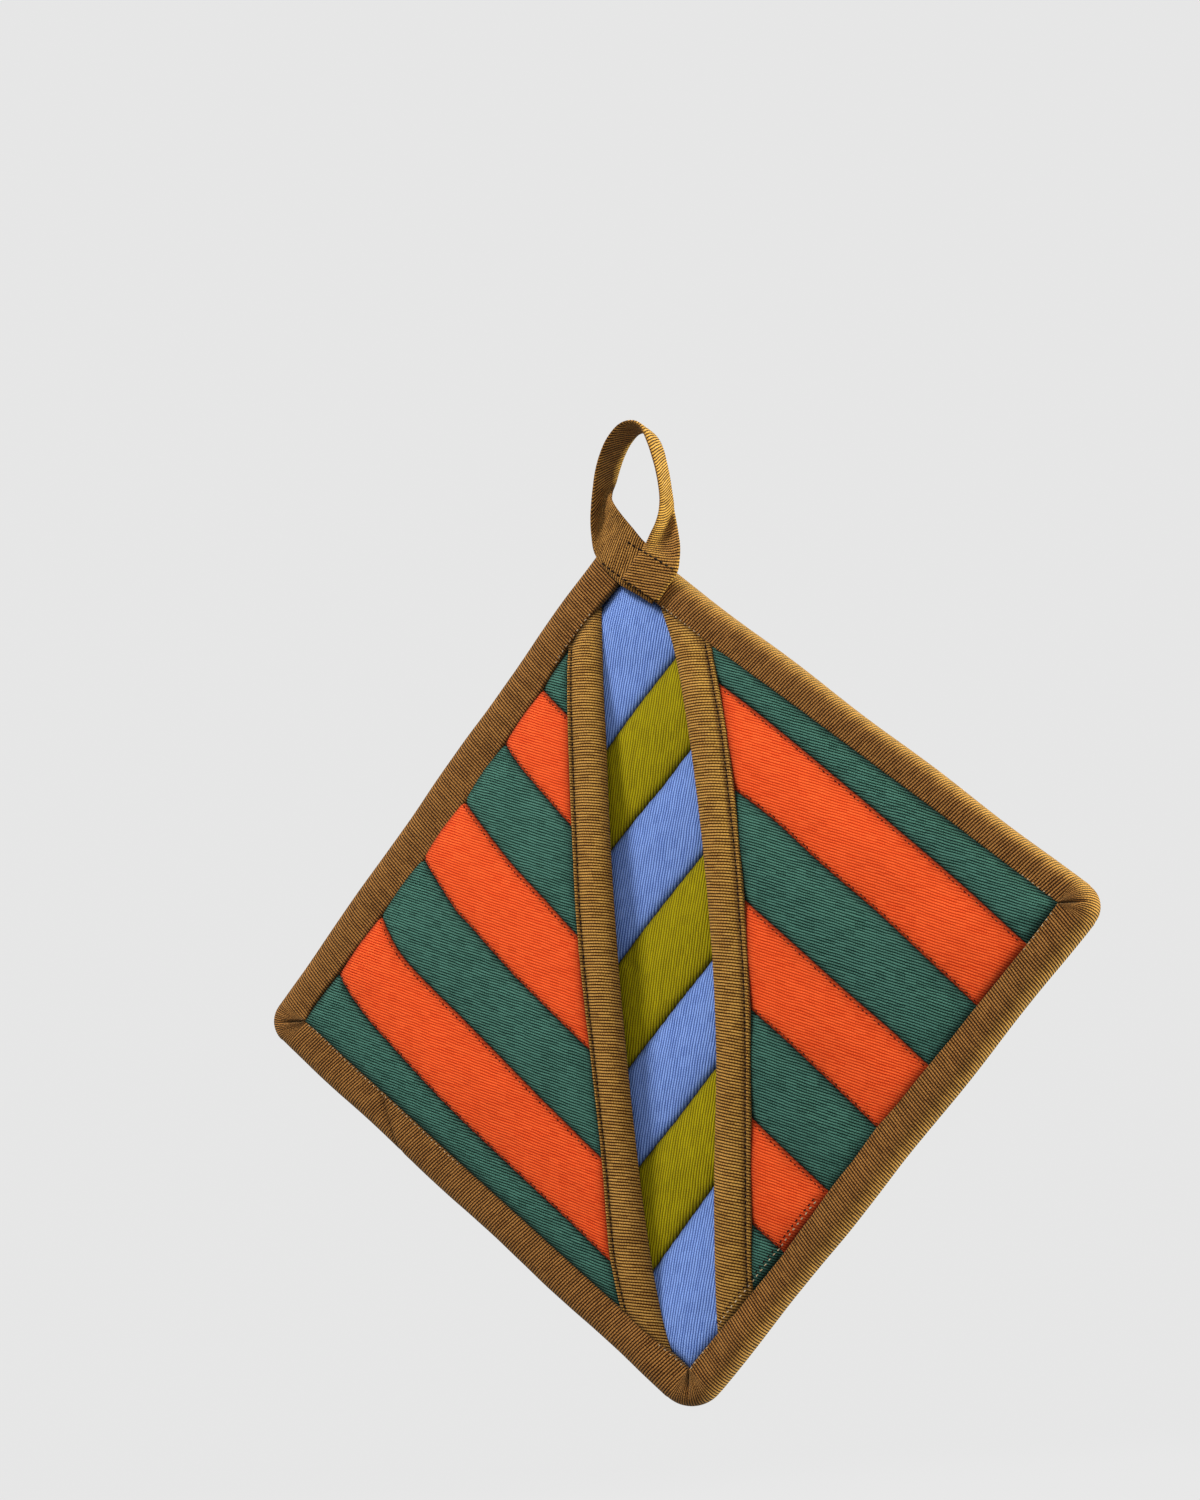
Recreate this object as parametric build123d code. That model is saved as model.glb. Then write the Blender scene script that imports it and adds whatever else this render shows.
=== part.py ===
from build123d import *
import math
import os

# Square quilted pot holder with two hand pockets, hung by its loop with one
# corner up.  Millimetres, +Z up, front faces -Y.  The origin is the inside of
# the top of the hanging loop, where a hook carries it.
#
# Geometry is first laid out in "pad" coordinates: u to the right and v up from
# the middle of the square, and y the depth from the middle of the base quilt
# (negative in front).  PAD_X, PAD_Y and PAD_Z carry them to the row frame.

# ---- driving dimensions (mm) ------------------------------------------------
SIDE = 200.0            # finished square, edge to edge
CORNER_R = 11.0         # outer corners, rounded by the binding
BIND_W = 11.5           # finished width of the edge binding on the face
BIND_WALL = 1.0         # folded binding round the raw edge
FOLD_GAP = 0.3          # clearance between the two halves at the centre line

PANEL_T = 0.6           # back panel cloth
WADDING_T = 1.8         # heat resistant wadding
BATTING_T = 3.0         # cotton batting
STRIP_T = 1.0           # pieced face strips, seam allowances pressed under
BACK_LEG_T = 0.8        # back leg of the edge binding
FRONT_LEG_T = 2.8       # front leg, with the pocket edges clamped in it

LINING_T = 0.6          # pocket lining
POCKET_BATTING_T = 2.2  # pocket batting
FACE_T = 0.8            # pocket face strips
MOUTH_W = 13.0          # binding of the pocket mouths
MOUTH_LEG_T = 0.8
POCKET_GAP = 0.6        # pocket lining stands this far off the base at its edge
POCKET_INSET = 1.5      # pocket edge to edge binding, room for it to open
MOUTH_LIFT = 9.0        # how far the middle of the mouth stands open
MOUTH_END_LIFT = 1.2

THREAD_W = 0.5
THREAD_T = 0.3

STRAP_W = 12.0          # hanging loop strap
STRAP_T = 1.8
HINGE_V = 141.0         # height where the loop bends at the corner of the pad
HINGE_R = 1.0           # rolled fold of the strap at that line
LOOP_TOP_V = 173.6      # strap centreline at the top of the loop
LOOP_MID_U = 5.0

PAD_X = -LOOP_MID_U
PAD_Y = 2.86            # centre of mass of the pad hangs under the loop
PAD_Z = -(LOOP_TOP_V - STRAP_T / 2)

# depth levels of the base quilt
Y_BACK = 3.2
Y_WAD = Y_BACK - PANEL_T
Y_BAT = Y_WAD - WADDING_T
Y_STRIP = Y_BAT - BATTING_T
Y_FRONT = Y_STRIP - STRIP_T
Y_LEG = Y_FRONT - FRONT_LEG_T
Y_BACK_LEG = Y_BACK + BACK_LEG_T
Y_POCKET = Y_FRONT - POCKET_GAP
POCKET_T = LINING_T + POCKET_BATTING_T + FACE_T

K = SIDE / 190.0        # the layout below was drawn for a 190 mm square

# seams of the base strips: lines v - u = c, from the top strip down
BASE_SEAMS = [c * K for c in (76.9, 46.8, 13.4, -17.9, -47.3, -78.2)]

# seams of the pocket strips, outer end then mouth end, from the top down
LEFT_SEAMS = [
    ((-29.1, 88.1), (-21.4, 78.1)),
    ((-43.5, 73.3), (-23.2, 43.8)),
    ((-58.2, 56.9), (-24.3, 10.5)),
    ((-73.7, 41.1), (-24.4, -22.9)),
    ((-89.8, 25.4), (-22.8, -55.8)),
    ((-106.1, 9.8), (-23.3, -85.4)),
]
RIGHT_SEAMS = [
    ((110.4, -9.0), (27.8, 80.6)),
    ((94.1, -24.5), (29.1, 47.9)),
    ((78.5, -39.5), (28.8, 15.0)),
    ((61.4, -54.9), (27.5, -17.3)),
    ((45.5, -71.6), (24.2, -48.0)),
    ((30.6, -87.7), (21.2, -78.2)),
]

HALF_DIAG = SIDE / math.sqrt(2)
INNER_DIAG = HALF_DIAG - BIND_W * math.sqrt(2)
POCKET_DIAG = INNER_DIAG - POCKET_INSET * math.sqrt(2)

# free edges of the two pocket mouths, top to bottom: (u, v)
LEFT_U = (-8.5, -8.8, -9.2, -9.2, -7.8)
RIGHT_U = (11.5, 18.6, 20.0, 15.4, 7.6)


def mouth_points(us, side):
    """Free edge of a mouth, with how far each point stands off the base."""
    top = POCKET_DIAG - abs(us[0])
    low = -(POCKET_DIAG - abs(us[4]))
    vs = (top, top / 2, 0.0, low / 2, low)
    pts = []
    for u, v in zip(us, vs):
        rise = MOUTH_END_LIFT + MOUTH_LIFT * (1 - (v / 115.0) ** 2)
        if v in (top, low):
            rise = MOUTH_END_LIFT
        pts.append((u, v, rise))
    return pts


# ---- helpers ----------------------------------------------------------------
def plane_at(y):
    return Plane(origin=(PAD_X, PAD_Y + y, PAD_Z), x_dir=(1, 0, 0), z_dir=(0, -1, 0))


def flat(sketch, y_back, y_front):
    """Extrude a pad sketch between two depths."""
    return extrude(plane_at(y_back) * sketch, amount=y_back - y_front)


def poly(points):
    return Polygon(*points, align=None)


def diamond(inset, radius):
    s = SIDE - 2 * inset
    sk = RectangleRounded(s, s, radius) if radius > 0 else Rectangle(s, s)
    return Rot(0, 0, 45) * sk


def half(side):
    """side -1 is the left half, +1 the right."""
    w = 160.0
    return Pos(side * (w / 2 + FOLD_GAP / 2), 0) * Rectangle(w, 400)


def clip(points, a, b):
    """Keep the part of a polygon to the left of the line a -> b."""
    out = []
    n = len(points)

    def val(p):
        return (b[0] - a[0]) * (p[1] - a[1]) - (b[1] - a[1]) * (p[0] - a[0])

    for i in range(n):
        p, q = points[i], points[(i + 1) % n]
        vp, vq = val(p), val(q)
        if vp >= 0:
            out.append(p)
        if (vp > 0 > vq) or (vp < 0 < vq):
            t = vp / (vp - vq)
            out.append((p[0] + t * (q[0] - p[0]), p[1] + t * (q[1] - p[1])))
    clean = []
    for p in out:
        if not clean or math.dist(p, clean[-1]) > 1e-4:
            clean.append(p)
    if len(clean) > 1 and math.dist(clean[0], clean[-1]) <= 1e-4:
        clean.pop()
    return clean


def area(points):
    return 0.5 * sum(
        points[i][0] * points[(i + 1) % len(points)][1]
        - points[(i + 1) % len(points)][0] * points[i][1]
        for i in range(len(points))
    )


def toward(p, c, d):
    """Move p towards the corner c until it has gone d sideways."""
    t = d / abs(c[0] - p[0])
    return (p[0] + t * (c[0] - p[0]), p[1] + t * (c[1] - p[1]))


def fuse(solids):
    solids = [s for s in solids if s is not None]
    if len(solids) == 1:
        return solids[0]
    out = solids[0].fuse(*solids[1:])
    if isinstance(out, (list, ShapeList)):
        out = Compound(children=list(out))
    return out.clean()


class Pocket:
    """A quilted triangular pocket that fans out from its outer corner, where
    it is sewn flat, to a mouth whose middle stands off the base."""

    def __init__(self, side, us):
        self.side = side
        self.c = (side * POCKET_DIAG, 0.0)
        self.m = mouth_points(us, side)
        self.facets = list(zip(self.m[:-1], self.m[1:]))

    def rise(self, facet, p):
        (x1, z1, h1), (x2, z2, h2) = facet
        cx, cz = self.c
        a, b, c, d = x1 - cx, z1 - cz, x2 - cx, z2 - cz
        det = a * d - b * c
        px, pz = p[0] - cx, p[1] - cz
        s = (px * d - pz * c) / det
        t = (a * pz - b * px) / det
        return s * h1 + t * h2

    def slab(self, points, facet, t0, t1):
        if len(points) < 3 or abs(area(points)) < 0.02:
            return None
        pts = [
            Vector(p[0] + PAD_X, PAD_Y + Y_POCKET - self.rise(facet, p) - t0, p[1] + PAD_Z)
            for p in points
        ]
        face = Face(Wire.make_polygon(pts, close=True))
        return Solid.extrude(face, Vector(0, -(t1 - t0), 0))

    def layer(self, t0, t1, back_off, seams=(None, None)):
        """Whole pocket, or the part between two seams, as one solid."""
        parts = []
        for f in self.facets:
            a = toward(f[0], self.c, back_off)
            b = toward(f[1], self.c, back_off)
            tri = [self.c, a, b]
            if area(tri) < 0:
                tri = [self.c, b, a]
            above, below = seams
            if above is not None:
                lo, hi = sorted(above, key=lambda q: q[0])
                tri = clip(tri, hi, lo)
            if below is not None and len(tri) > 2:
                lo, hi = sorted(below, key=lambda q: q[0])
                tri = clip(tri, lo, hi)
            parts.append(self.slab(tri, f, t0, t1))
        return fuse(parts)

    def band(self, d0, d1, t0, t1):
        """A strip along the mouth between two distances from its free edge."""
        parts = []
        for f in self.facets:
            quad = [
                toward(f[0], self.c, d0) if d0 else f[0][:2],
                toward(f[1], self.c, d0) if d0 else f[1][:2],
                toward(f[1], self.c, d1),
                toward(f[0], self.c, d1),
            ]
            if area(quad) < 0:
                quad = quad[::-1]
            parts.append(self.slab(quad, f, t0, t1))
        return fuse(parts)

    def row(self, seam, t0, t1):
        """A line of thread along a seam."""
        (x1, z1), (x2, z2) = seam
        n = math.hypot(x2 - x1, z2 - z1)
        nx, nz = -(z2 - z1) / n * THREAD_W / 2, (x2 - x1) / n * THREAD_W / 2
        return self.layer(
            t0, t1, MOUTH_W + 0.2,
            (
                sorted([(x1 + nx, z1 + nz), (x2 + nx, z2 + nz)]) if nz > 0
                else sorted([(x1 - nx, z1 - nz), (x2 - nx, z2 - nz)]),
                sorted([(x1 - nx, z1 - nz), (x2 - nx, z2 - nz)]) if nz > 0
                else sorted([(x1 + nx, z1 + nz), (x2 + nx, z2 + nz)]),
            ),
        )


def scaled(seams):
    return [((a[0] * K, a[1] * K), (b[0] * K, b[1] * K)) for a, b in seams]


parts = {}

# ---- base quilt, one set of layers for each half ---------------------------
quilt = diamond(BIND_WALL, CORNER_R - BIND_WALL)
BIG = 400.0


def base_band(i):
    """Strip i of the base, between the seams v - u = c."""
    seams = [BIG] + BASE_SEAMS + [-BIG]
    hi, lo = seams[i], seams[i + 1]
    return poly([(-BIG, lo - BIG), (BIG, lo + BIG), (BIG, hi + BIG), (-BIG, hi - BIG)])


BASE_COLOURS = ("blue", "olive", "blue", "olive", "blue", "olive", "blue")
POCKET_COLOURS = ("green", "orange", "green", "orange", "green", "orange", "green")

for side, name in ((-1, "left"), (1, "right")):
    h = half(side)
    q = quilt & h
    parts[f"back_panel_{name}"] = flat(q, Y_BACK, Y_WAD)
    parts[f"heat_wadding_{name}"] = flat(q, Y_WAD, Y_BAT)
    parts[f"base_batting_{name}"] = flat(q, Y_BAT, Y_STRIP)
    for i, colour in enumerate(BASE_COLOURS):
        parts[f"base_strip_{i + 1}_{colour}_{name}"] = flat(
            q & base_band(i), Y_STRIP, Y_FRONT
        )

    # edge binding: a channel folded round the raw edges of all the layers
    outer = diamond(0, CORNER_R) & h
    ring = outer - diamond(BIND_W, 0)
    wall = outer - quilt
    parts[f"edge_binding_{name}"] = fuse(
        [
            flat(wall, Y_BACK_LEG, Y_LEG).solid(),
            flat(ring, Y_FRONT, Y_LEG).solid(),
            flat(ring, Y_BACK_LEG, Y_BACK).solid(),
        ]
    )

    # edge stitching: one row through the binding, seen on both faces, and
    # left out under the sewn end of the loop.  On the back it is pulled down
    # level with the cloth, so the pad lies flat.
    line = (diamond(BIND_W - 1.3 - THREAD_W, 0) - diamond(BIND_W - 1.3, 0)) & h
    line = line & (Pos(0, -91) * Rectangle(400, 400))
    back_row = flat(line, Y_BACK_LEG, Y_BACK_LEG - THREAD_T)
    parts[f"edge_binding_{name}"] = (parts[f"edge_binding_{name}"] - back_row).solid()
    parts[f"edge_stitching_{name}"] = Compound(
        children=list(flat(line, Y_LEG, Y_LEG - THREAD_T).solids())
        + list(back_row.solids())
    )

    # quilting in the ditch of the base seams, seen on both faces
    rows = []
    for c in BASE_SEAMS:
        w = THREAD_W / math.sqrt(2)
        band = poly(
            [(-BIG, c - w - BIG), (BIG, c - w + BIG), (BIG, c + w + BIG), (-BIG, c + w - BIG)]
        )
        piece = band & diamond(BIND_W + 0.2, 0) & h
        rows += list(flat(piece, Y_FRONT, Y_FRONT - THREAD_T).solids())
        rows += list(flat(piece, Y_BACK + THREAD_T, Y_BACK).solids())
    parts[f"base_quilting_{name}"] = Compound(children=rows)

# ---- pockets ----------------------------------------------------------------
for side, name, us, seams in (
    (-1, "left", LEFT_U, scaled(LEFT_SEAMS)),
    (1, "right", RIGHT_U, scaled(RIGHT_SEAMS)),
):
    p = Pocket(side, us)
    t_bat = LINING_T
    t_face = LINING_T + POCKET_BATTING_T
    parts[f"{name}_pocket_lining"] = p.layer(0, t_bat, 1.0)
    parts[f"{name}_pocket_batting"] = p.layer(t_bat, t_face, 1.0)
    bounds = [None] + seams + [None]
    for i, colour in enumerate(POCKET_COLOURS):
        parts[f"{name}_pocket_strip_{i + 1}_{colour}"] = p.layer(
            t_face, POCKET_T, 1.0, (bounds[i], bounds[i + 1])
        )
    parts[f"{name}_mouth_binding"] = fuse(
        [
            p.band(0, MOUTH_W, -MOUTH_LEG_T, 0),
            p.band(0, MOUTH_W, POCKET_T, POCKET_T + MOUTH_LEG_T),
            p.band(0, 1.0, -MOUTH_LEG_T, POCKET_T + MOUTH_LEG_T),
        ]
    )
    parts[f"{name}_mouth_stitching"] = p.band(
        MOUTH_W - 1.9, MOUTH_W - 1.9 + THREAD_W,
        POCKET_T + MOUTH_LEG_T, POCKET_T + MOUTH_LEG_T + THREAD_T,
    )
    rows = []
    for s in seams:
        got = p.row(s, POCKET_T, POCKET_T + THREAD_T)
        rows += list(got.solids())
    parts[f"{name}_pocket_quilting"] = Compound(children=rows)

# ---- hanging loop ------------------------------------------------------------
# The free part is the tail of the binding turned up into a loop.  At its foot
# the strap lies flat to the front, and by the top it has turned edge-on.
# Stations: centre u, v, and turn of the strap about its own line.
LEFT_LEG = [
    (-3.0, HINGE_V + 1.3, 0), (-3.4, 146.0, 18), (-4.2, 151.5, 42), (-5.0, 157.5, 62),
    (-4.6, 163.0, 76), (-2.2, 168.2, 85), (1.4, 171.9, 90),
]
RIGHT_LEG = [
    (8.6, 172.1, 90), (12.4, 168.8, 85), (15.0, 163.6, 76), (16.0, 157.5, 62),
    (15.6, 151.5, 42), (14.4, 146.0, 18), (13.6, HINGE_V + 1.3, 0),
]
stations = LEFT_LEG + [(LOOP_MID_U, LOOP_TOP_V, 90)] + RIGHT_LEG
Y_LOOP = -PAD_Y         # the loop hangs in the plane y = 0 of the row frame


def strap_section(i):
    u, v, turn = stations[i]
    a = stations[max(i - 1, 0)]
    b = stations[min(i + 1, len(stations) - 1)]
    t = Vector(b[0] - a[0], 0, b[1] - a[1]).normalized()
    if i == 0:
        t = Vector(0, 0, 1)
    if i == len(stations) - 1:
        t = Vector(0, 0, -1)
    side = t.cross(Vector(0, 1, 0)).normalized()
    if i > 7:
        turn = 180 - turn
    r = math.radians(turn)
    wide = side * math.cos(r) + Vector(0, 1, 0) * math.sin(r)
    return Plane(
        origin=Vector(u + PAD_X, 0, v + PAD_Z), x_dir=wide, z_dir=t
    ) * Rectangle(STRAP_W, STRAP_T)


sections = [strap_section(i) for i in range(len(stations))]
parts["hanging_loop"] = loft([s.face() for s in sections], ruled=True)

# The sewn foot: the strap end lies over the top corner of the binding, square
# to the top right edge, and runs up over the corner to the fold line.
# The foot keeps clear of the left half of the pad, which folds away from it.
foot_plate = poly(
    [(-7.9, 132.9), (0.0, 125.6), (10.8, 115.4), (19.2, 123.6), (19.6, 139.4), (-9.0, 139.4), (-9.0, 134.2)]
)
right_of = Pos(100.15, 0) * Rectangle(200, 400)
left_of = Pos(-99.85, 0) * Rectangle(200, 400)
shelf_sketch = poly([(-9.0, 137.6), (19.6, 137.6), (19.6, 139.4), (-9.0, 139.4)])
foot = [
    flat(foot_plate & left_of, Y_LEG - 0.3, Y_LEG - 2.7).solid(),
    flat(foot_plate & right_of, Y_LEG, Y_LEG - 2.7).solid(),
    flat(shelf_sketch, Y_LOOP + STRAP_T / 2, Y_LEG - 2.7).solid(),
]
for mid in (-3.0, 13.6):
    foot.append(
        flat(
            poly([(mid - 6, 139.3), (mid + 6, 139.3), (mid + 6, HINGE_V), (mid - 6, HINGE_V)]),
            Y_LOOP + STRAP_T / 2, Y_LOOP - STRAP_T / 2,
        ).solid()
    )
    roll = Cylinder(HINGE_R, STRAP_W, rotation=(0, 90, 0))
    foot.append((Pos(mid + PAD_X, PAD_Y + Y_LOOP, HINGE_V + PAD_Z) * roll).solid())
parts["loop_sewn_end"] = fuse(foot)


def thread_line(a, b, y):
    n = math.hypot(b[0] - a[0], b[1] - a[1])
    nx, nz = -(b[1] - a[1]) / n * THREAD_W / 2, (b[0] - a[0]) / n * THREAD_W / 2
    return flat(
        poly([(a[0] - nx, a[1] - nz), (b[0] - nx, b[1] - nz), (b[0] + nx, b[1] + nz), (a[0] + nx, a[1] + nz)]),
        y, y - THREAD_T,
    ).solid()


parts["loop_stitching"] = Compound(
    children=[
        thread_line((-6.4, 133.2), (11.2, 117.0), Y_LEG - 2.7),
        thread_line((3.9, 136.2), (18.2, 124.4), Y_LEG - 2.7),
    ]
)

os.makedirs("parts", exist_ok=True)
total = 0.0
moment = 0.0
for name, shape in parts.items():
    export_step(shape, f"parts/{name}.step")
    if name != "hanging_loop":
        for s in shape.solids():
            total += s.volume
            moment += s.volume * s.center(CenterOf.MASS).Y
print(len(parts), "nodes; pad volume cm3", round(total / 1000, 1), "centre y", round(moment / total, 3))
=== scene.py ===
import math

import bpy
import numpy as np
from mathutils import Matrix, Vector


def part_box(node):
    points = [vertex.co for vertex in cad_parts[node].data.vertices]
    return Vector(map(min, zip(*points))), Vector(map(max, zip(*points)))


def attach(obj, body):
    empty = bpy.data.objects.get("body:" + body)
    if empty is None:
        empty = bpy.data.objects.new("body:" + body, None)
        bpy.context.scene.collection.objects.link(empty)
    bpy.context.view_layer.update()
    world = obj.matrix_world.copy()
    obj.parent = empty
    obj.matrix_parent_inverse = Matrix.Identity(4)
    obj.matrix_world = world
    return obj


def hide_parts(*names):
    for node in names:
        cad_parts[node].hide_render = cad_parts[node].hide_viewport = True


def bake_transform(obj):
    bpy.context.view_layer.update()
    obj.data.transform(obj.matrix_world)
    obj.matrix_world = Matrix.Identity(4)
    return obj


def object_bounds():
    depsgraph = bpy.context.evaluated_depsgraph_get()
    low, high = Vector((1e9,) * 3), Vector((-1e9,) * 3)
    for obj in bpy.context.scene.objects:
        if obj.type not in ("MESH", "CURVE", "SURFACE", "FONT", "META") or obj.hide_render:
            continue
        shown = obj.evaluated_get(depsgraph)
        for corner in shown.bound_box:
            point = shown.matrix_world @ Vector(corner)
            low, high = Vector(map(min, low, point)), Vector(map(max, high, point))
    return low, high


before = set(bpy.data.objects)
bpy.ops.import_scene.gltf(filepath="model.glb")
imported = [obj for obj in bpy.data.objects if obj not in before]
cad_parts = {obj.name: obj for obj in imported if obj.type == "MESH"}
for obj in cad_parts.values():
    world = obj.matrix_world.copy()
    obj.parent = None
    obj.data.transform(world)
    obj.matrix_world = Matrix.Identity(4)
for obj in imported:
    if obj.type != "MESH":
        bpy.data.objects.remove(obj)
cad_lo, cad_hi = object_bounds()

rng = np.random.default_rng(11)

# ---------------------------------------------------------------------------
# Pad coordinates, in millimetres: u right and v up from the middle of the
# square, y the depth (negative in front).  The frame says where they lie.
# ---------------------------------------------------------------------------
_ll, _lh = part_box("edge_binding_left")
_rl, _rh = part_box("edge_binding_right")
PX = (_ll.x + _rh.x) / 2 * 1000
PZ = (_ll.z + _lh.z) / 2 * 1000
PY = _lh.y * 1000 - 4.0
POCKET_DIAG = 123.04
HINGE_V = 141.0


def row(p):
    """Pad points (..., 3) as (u, v, y) to the row frame in metres."""
    p = np.asarray(p, float)
    return np.stack([p[..., 0] + PX, p[..., 2] + PY, p[..., 1] + PZ], -1) / 1000


def row_v(u, v, y=0.0):
    return tuple(float(x) for x in row([u, v, y]))


# The seams were measured on the flat plane y = 0 from a point in front and to
# the right of the pad; lift() slides such a point along that line to a depth.
SIGHT = np.array([297.2, -110.6, 780.7])


def lift(uv, d):
    uv = np.asarray(uv, float)
    d = np.broadcast_to(np.asarray(d, float), uv.shape[:-1])
    k = d / SIGHT[2]
    return np.stack(
        [uv[..., 0] + (SIGHT[0] - uv[..., 0]) * k, uv[..., 1] + (SIGHT[1] - uv[..., 1]) * k], -1
    )


# ---------------------------------------------------------------------------
# small curve and noise tools
# ---------------------------------------------------------------------------
def arc_len(p):
    d = np.linalg.norm(np.diff(p, axis=0), axis=1)
    return np.concatenate([[0], np.cumsum(d)])


def resample(p, n):
    """n points evenly along a polyline."""
    p = np.asarray(p, float)
    s = arc_len(p)
    t = np.linspace(0, s[-1], n)
    return np.stack([np.interp(t, s, p[:, k]) for k in range(p.shape[1])], 1)


def smooth_curve(p, n):
    """Catmull-Rom through the points, evenly resampled."""
    p = np.asarray(p, float)
    q = np.vstack([2 * p[0] - p[1], p, 2 * p[-1] - p[-2]])
    out = []
    for i in range(1, len(q) - 2):
        a, b, c, d = q[i - 1], q[i], q[i + 1], q[i + 2]
        for t in np.linspace(0, 1, 16, endpoint=False):
            out.append(
                0.5
                * (2 * b + (c - a) * t + (2 * a - 5 * b + 4 * c - d) * t * t + (3 * b - a - 3 * c + d) * t**3)
            )
    out.append(p[-1])
    return resample(np.array(out), n)


def extend(p, before=0.0, after=0.0):
    """Lengthen a polyline in line with its ends."""
    p = np.asarray(p, float)
    out = [p]
    if before:
        d = p[0] - p[1]
        out.insert(0, (p[0] + d / np.linalg.norm(d) * before)[None])
    if after:
        d = p[-1] - p[-2]
        out.append((p[-1] + d / np.linalg.norm(d) * after)[None])
    return np.vstack(out)


def poly_dist(u, v, line):
    """Distance of points to a polyline."""
    line = np.asarray(line, float)[:, :2]
    best = np.full(np.shape(u), 1e9)
    for a, b in zip(line[:-1], line[1:]):
        ab = b - a
        t = np.clip(((u - a[0]) * ab[0] + (v - a[1]) * ab[1]) / (ab @ ab), 0, 1)
        best = np.minimum(best, np.hypot(u - a[0] - t * ab[0], v - a[1] - t * ab[1]))
    return best


_W = [
    (rng.uniform(0, 2 * math.pi), rng.uniform(0, 2 * math.pi), rng.uniform(0.75, 1.3))
    for _ in range(7)
]


def ripple(u, v, scale, seed=0):
    """Smooth wandering field in -1..1, with features about scale mm wide."""
    r = np.zeros(np.shape(u))
    for i, (ang, ph, f) in enumerate(_W):
        a = ang + seed * 1.7 + i
        k = 2 * math.pi * f / scale
        r = r + np.sin(k * (np.cos(a) * u + np.sin(a) * v) + ph * (1 + seed))
    return r / len(_W) * 1.3


def project(u, v, line):
    """Distance along a polyline of the foot of each point on it."""
    line = np.asarray(line, float)[:, :2]
    s = arc_len(line)
    best = np.full(np.shape(u), 1e9)
    out = np.zeros(np.shape(u))
    for i, (a, b) in enumerate(zip(line[:-1], line[1:])):
        ab = b - a
        t = ((u - a[0]) * ab[0] + (v - a[1]) * ab[1]) / (ab @ ab)
        t = np.clip(t, -1e3 if i == 0 else 0, 1e3 if i == len(line) - 2 else 1)
        d = np.hypot(u - a[0] - t * ab[0], v - a[1] - t * ab[1])
        near = d < best
        best = np.where(near, d, best)
        out = np.where(near, s[i] + t * (s[i + 1] - s[i]), out)
    return out


def line_side(u, v, a, b):
    """Signed distance from the line a -> b, positive on its left."""
    a, b = np.asarray(a, float), np.asarray(b, float)
    d = (b - a) / np.linalg.norm(b - a)
    return d[0] * (v - a[1]) - d[1] * (u - a[0])


# ---------------------------------------------------------------------------
# meshes
# ---------------------------------------------------------------------------
def mesh_object(name, verts, faces, uvs, mat, smooth=True, seam=None):
    """verts in the row frame, uvs one (u, v) for each corner of each face,
    seam the distance in mm to the nearest sewn seam for each corner, which the twill turns into painted shade."""
    me = bpy.data.meshes.new(name)
    me.from_pydata([tuple(x) for x in verts], [], faces)
    layer = me.uv_layers.new(name="weave")
    layer.data.foreach_set("uv", np.asarray(uvs, np.float32).ravel())
    if seam is None:
        seam = np.full(len(uvs), 9.0)
    layer = me.uv_layers.new(name="seam")
    layer.data.foreach_set("uv", np.stack([seam, np.zeros(len(uvs))], 1).astype(np.float32).ravel())
    me.polygons.foreach_set("use_smooth", [smooth] * len(me.polygons))
    me.materials.append(mat)
    me.validate()
    me.update()
    ob = bpy.data.objects.new(name, me)
    bpy.context.scene.collection.objects.link(ob)
    return ob


def grid_faces(m, n, wrap_i=False, wrap_j=False, off=0, flip=False):
    """Quads of an m x n grid of vertices, and the grid index of each corner."""
    ii = np.arange(m if wrap_i else m - 1)
    jj = np.arange(n if wrap_j else n - 1)
    i, j = np.meshgrid(ii, jj, indexing="ij")
    i, j = i.ravel(), j.ravel()
    ci = np.stack([i, i + 1, i + 1, i], 1)
    cj = np.stack([j, j, j + 1, j + 1], 1)
    if flip:
        ci, cj = ci[:, ::-1], cj[:, ::-1]
    f = off + (ci % m) * n + (cj % n)
    return f, ci, cj


def shell(name, top, bot, uv, mat, seam=None):
    """A closed thin solid from two grids (m, n, 3) in pad coordinates.  The top
    faces the viewer.  uv is (m, n, 2)."""
    m, n = top.shape[:2]
    verts = np.concatenate([top.reshape(-1, 3), bot.reshape(-1, 3)])
    N = m * n
    f1, i1, j1 = grid_faces(m, n)
    f2, i2, j2 = grid_faces(m, n, off=N, flip=True)
    faces = [f1, f2]
    ci, cj = [i1, i2], [j1, j2]

    def side(idx_i, idx_j, flip):
        a_i, b_i = idx_i[:-1], idx_i[1:]
        a_j, b_j = idx_j[:-1], idx_j[1:]
        ta, tb = a_i * n + a_j, b_i * n + b_j
        q = np.stack([ta, N + ta, N + tb, tb], 1)
        qi = np.stack([a_i, a_i, b_i, b_i], 1)
        qj = np.stack([a_j, a_j, b_j, b_j], 1)
        if flip:
            q, qi, qj = q[:, ::-1], qi[:, ::-1], qj[:, ::-1]
        faces.append(q), ci.append(qi), cj.append(qj)

    side(np.arange(m), np.zeros(m, int), False)
    side(np.arange(m), np.full(m, n - 1), True)
    side(np.zeros(n, int), np.arange(n), True)
    side(np.full(n, m - 1), np.arange(n), False)
    f = np.concatenate(faces)
    ci, cj = np.concatenate(ci), np.concatenate(cj)
    uvs = uv[ci, cj].reshape(-1, 2)
    sm = None if seam is None else seam[ci, cj].reshape(-1)
    ob = mesh_object(name, row(verts), f.tolist(), uvs, mat, seam=sm)
    tidy(ob)
    return ob


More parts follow.
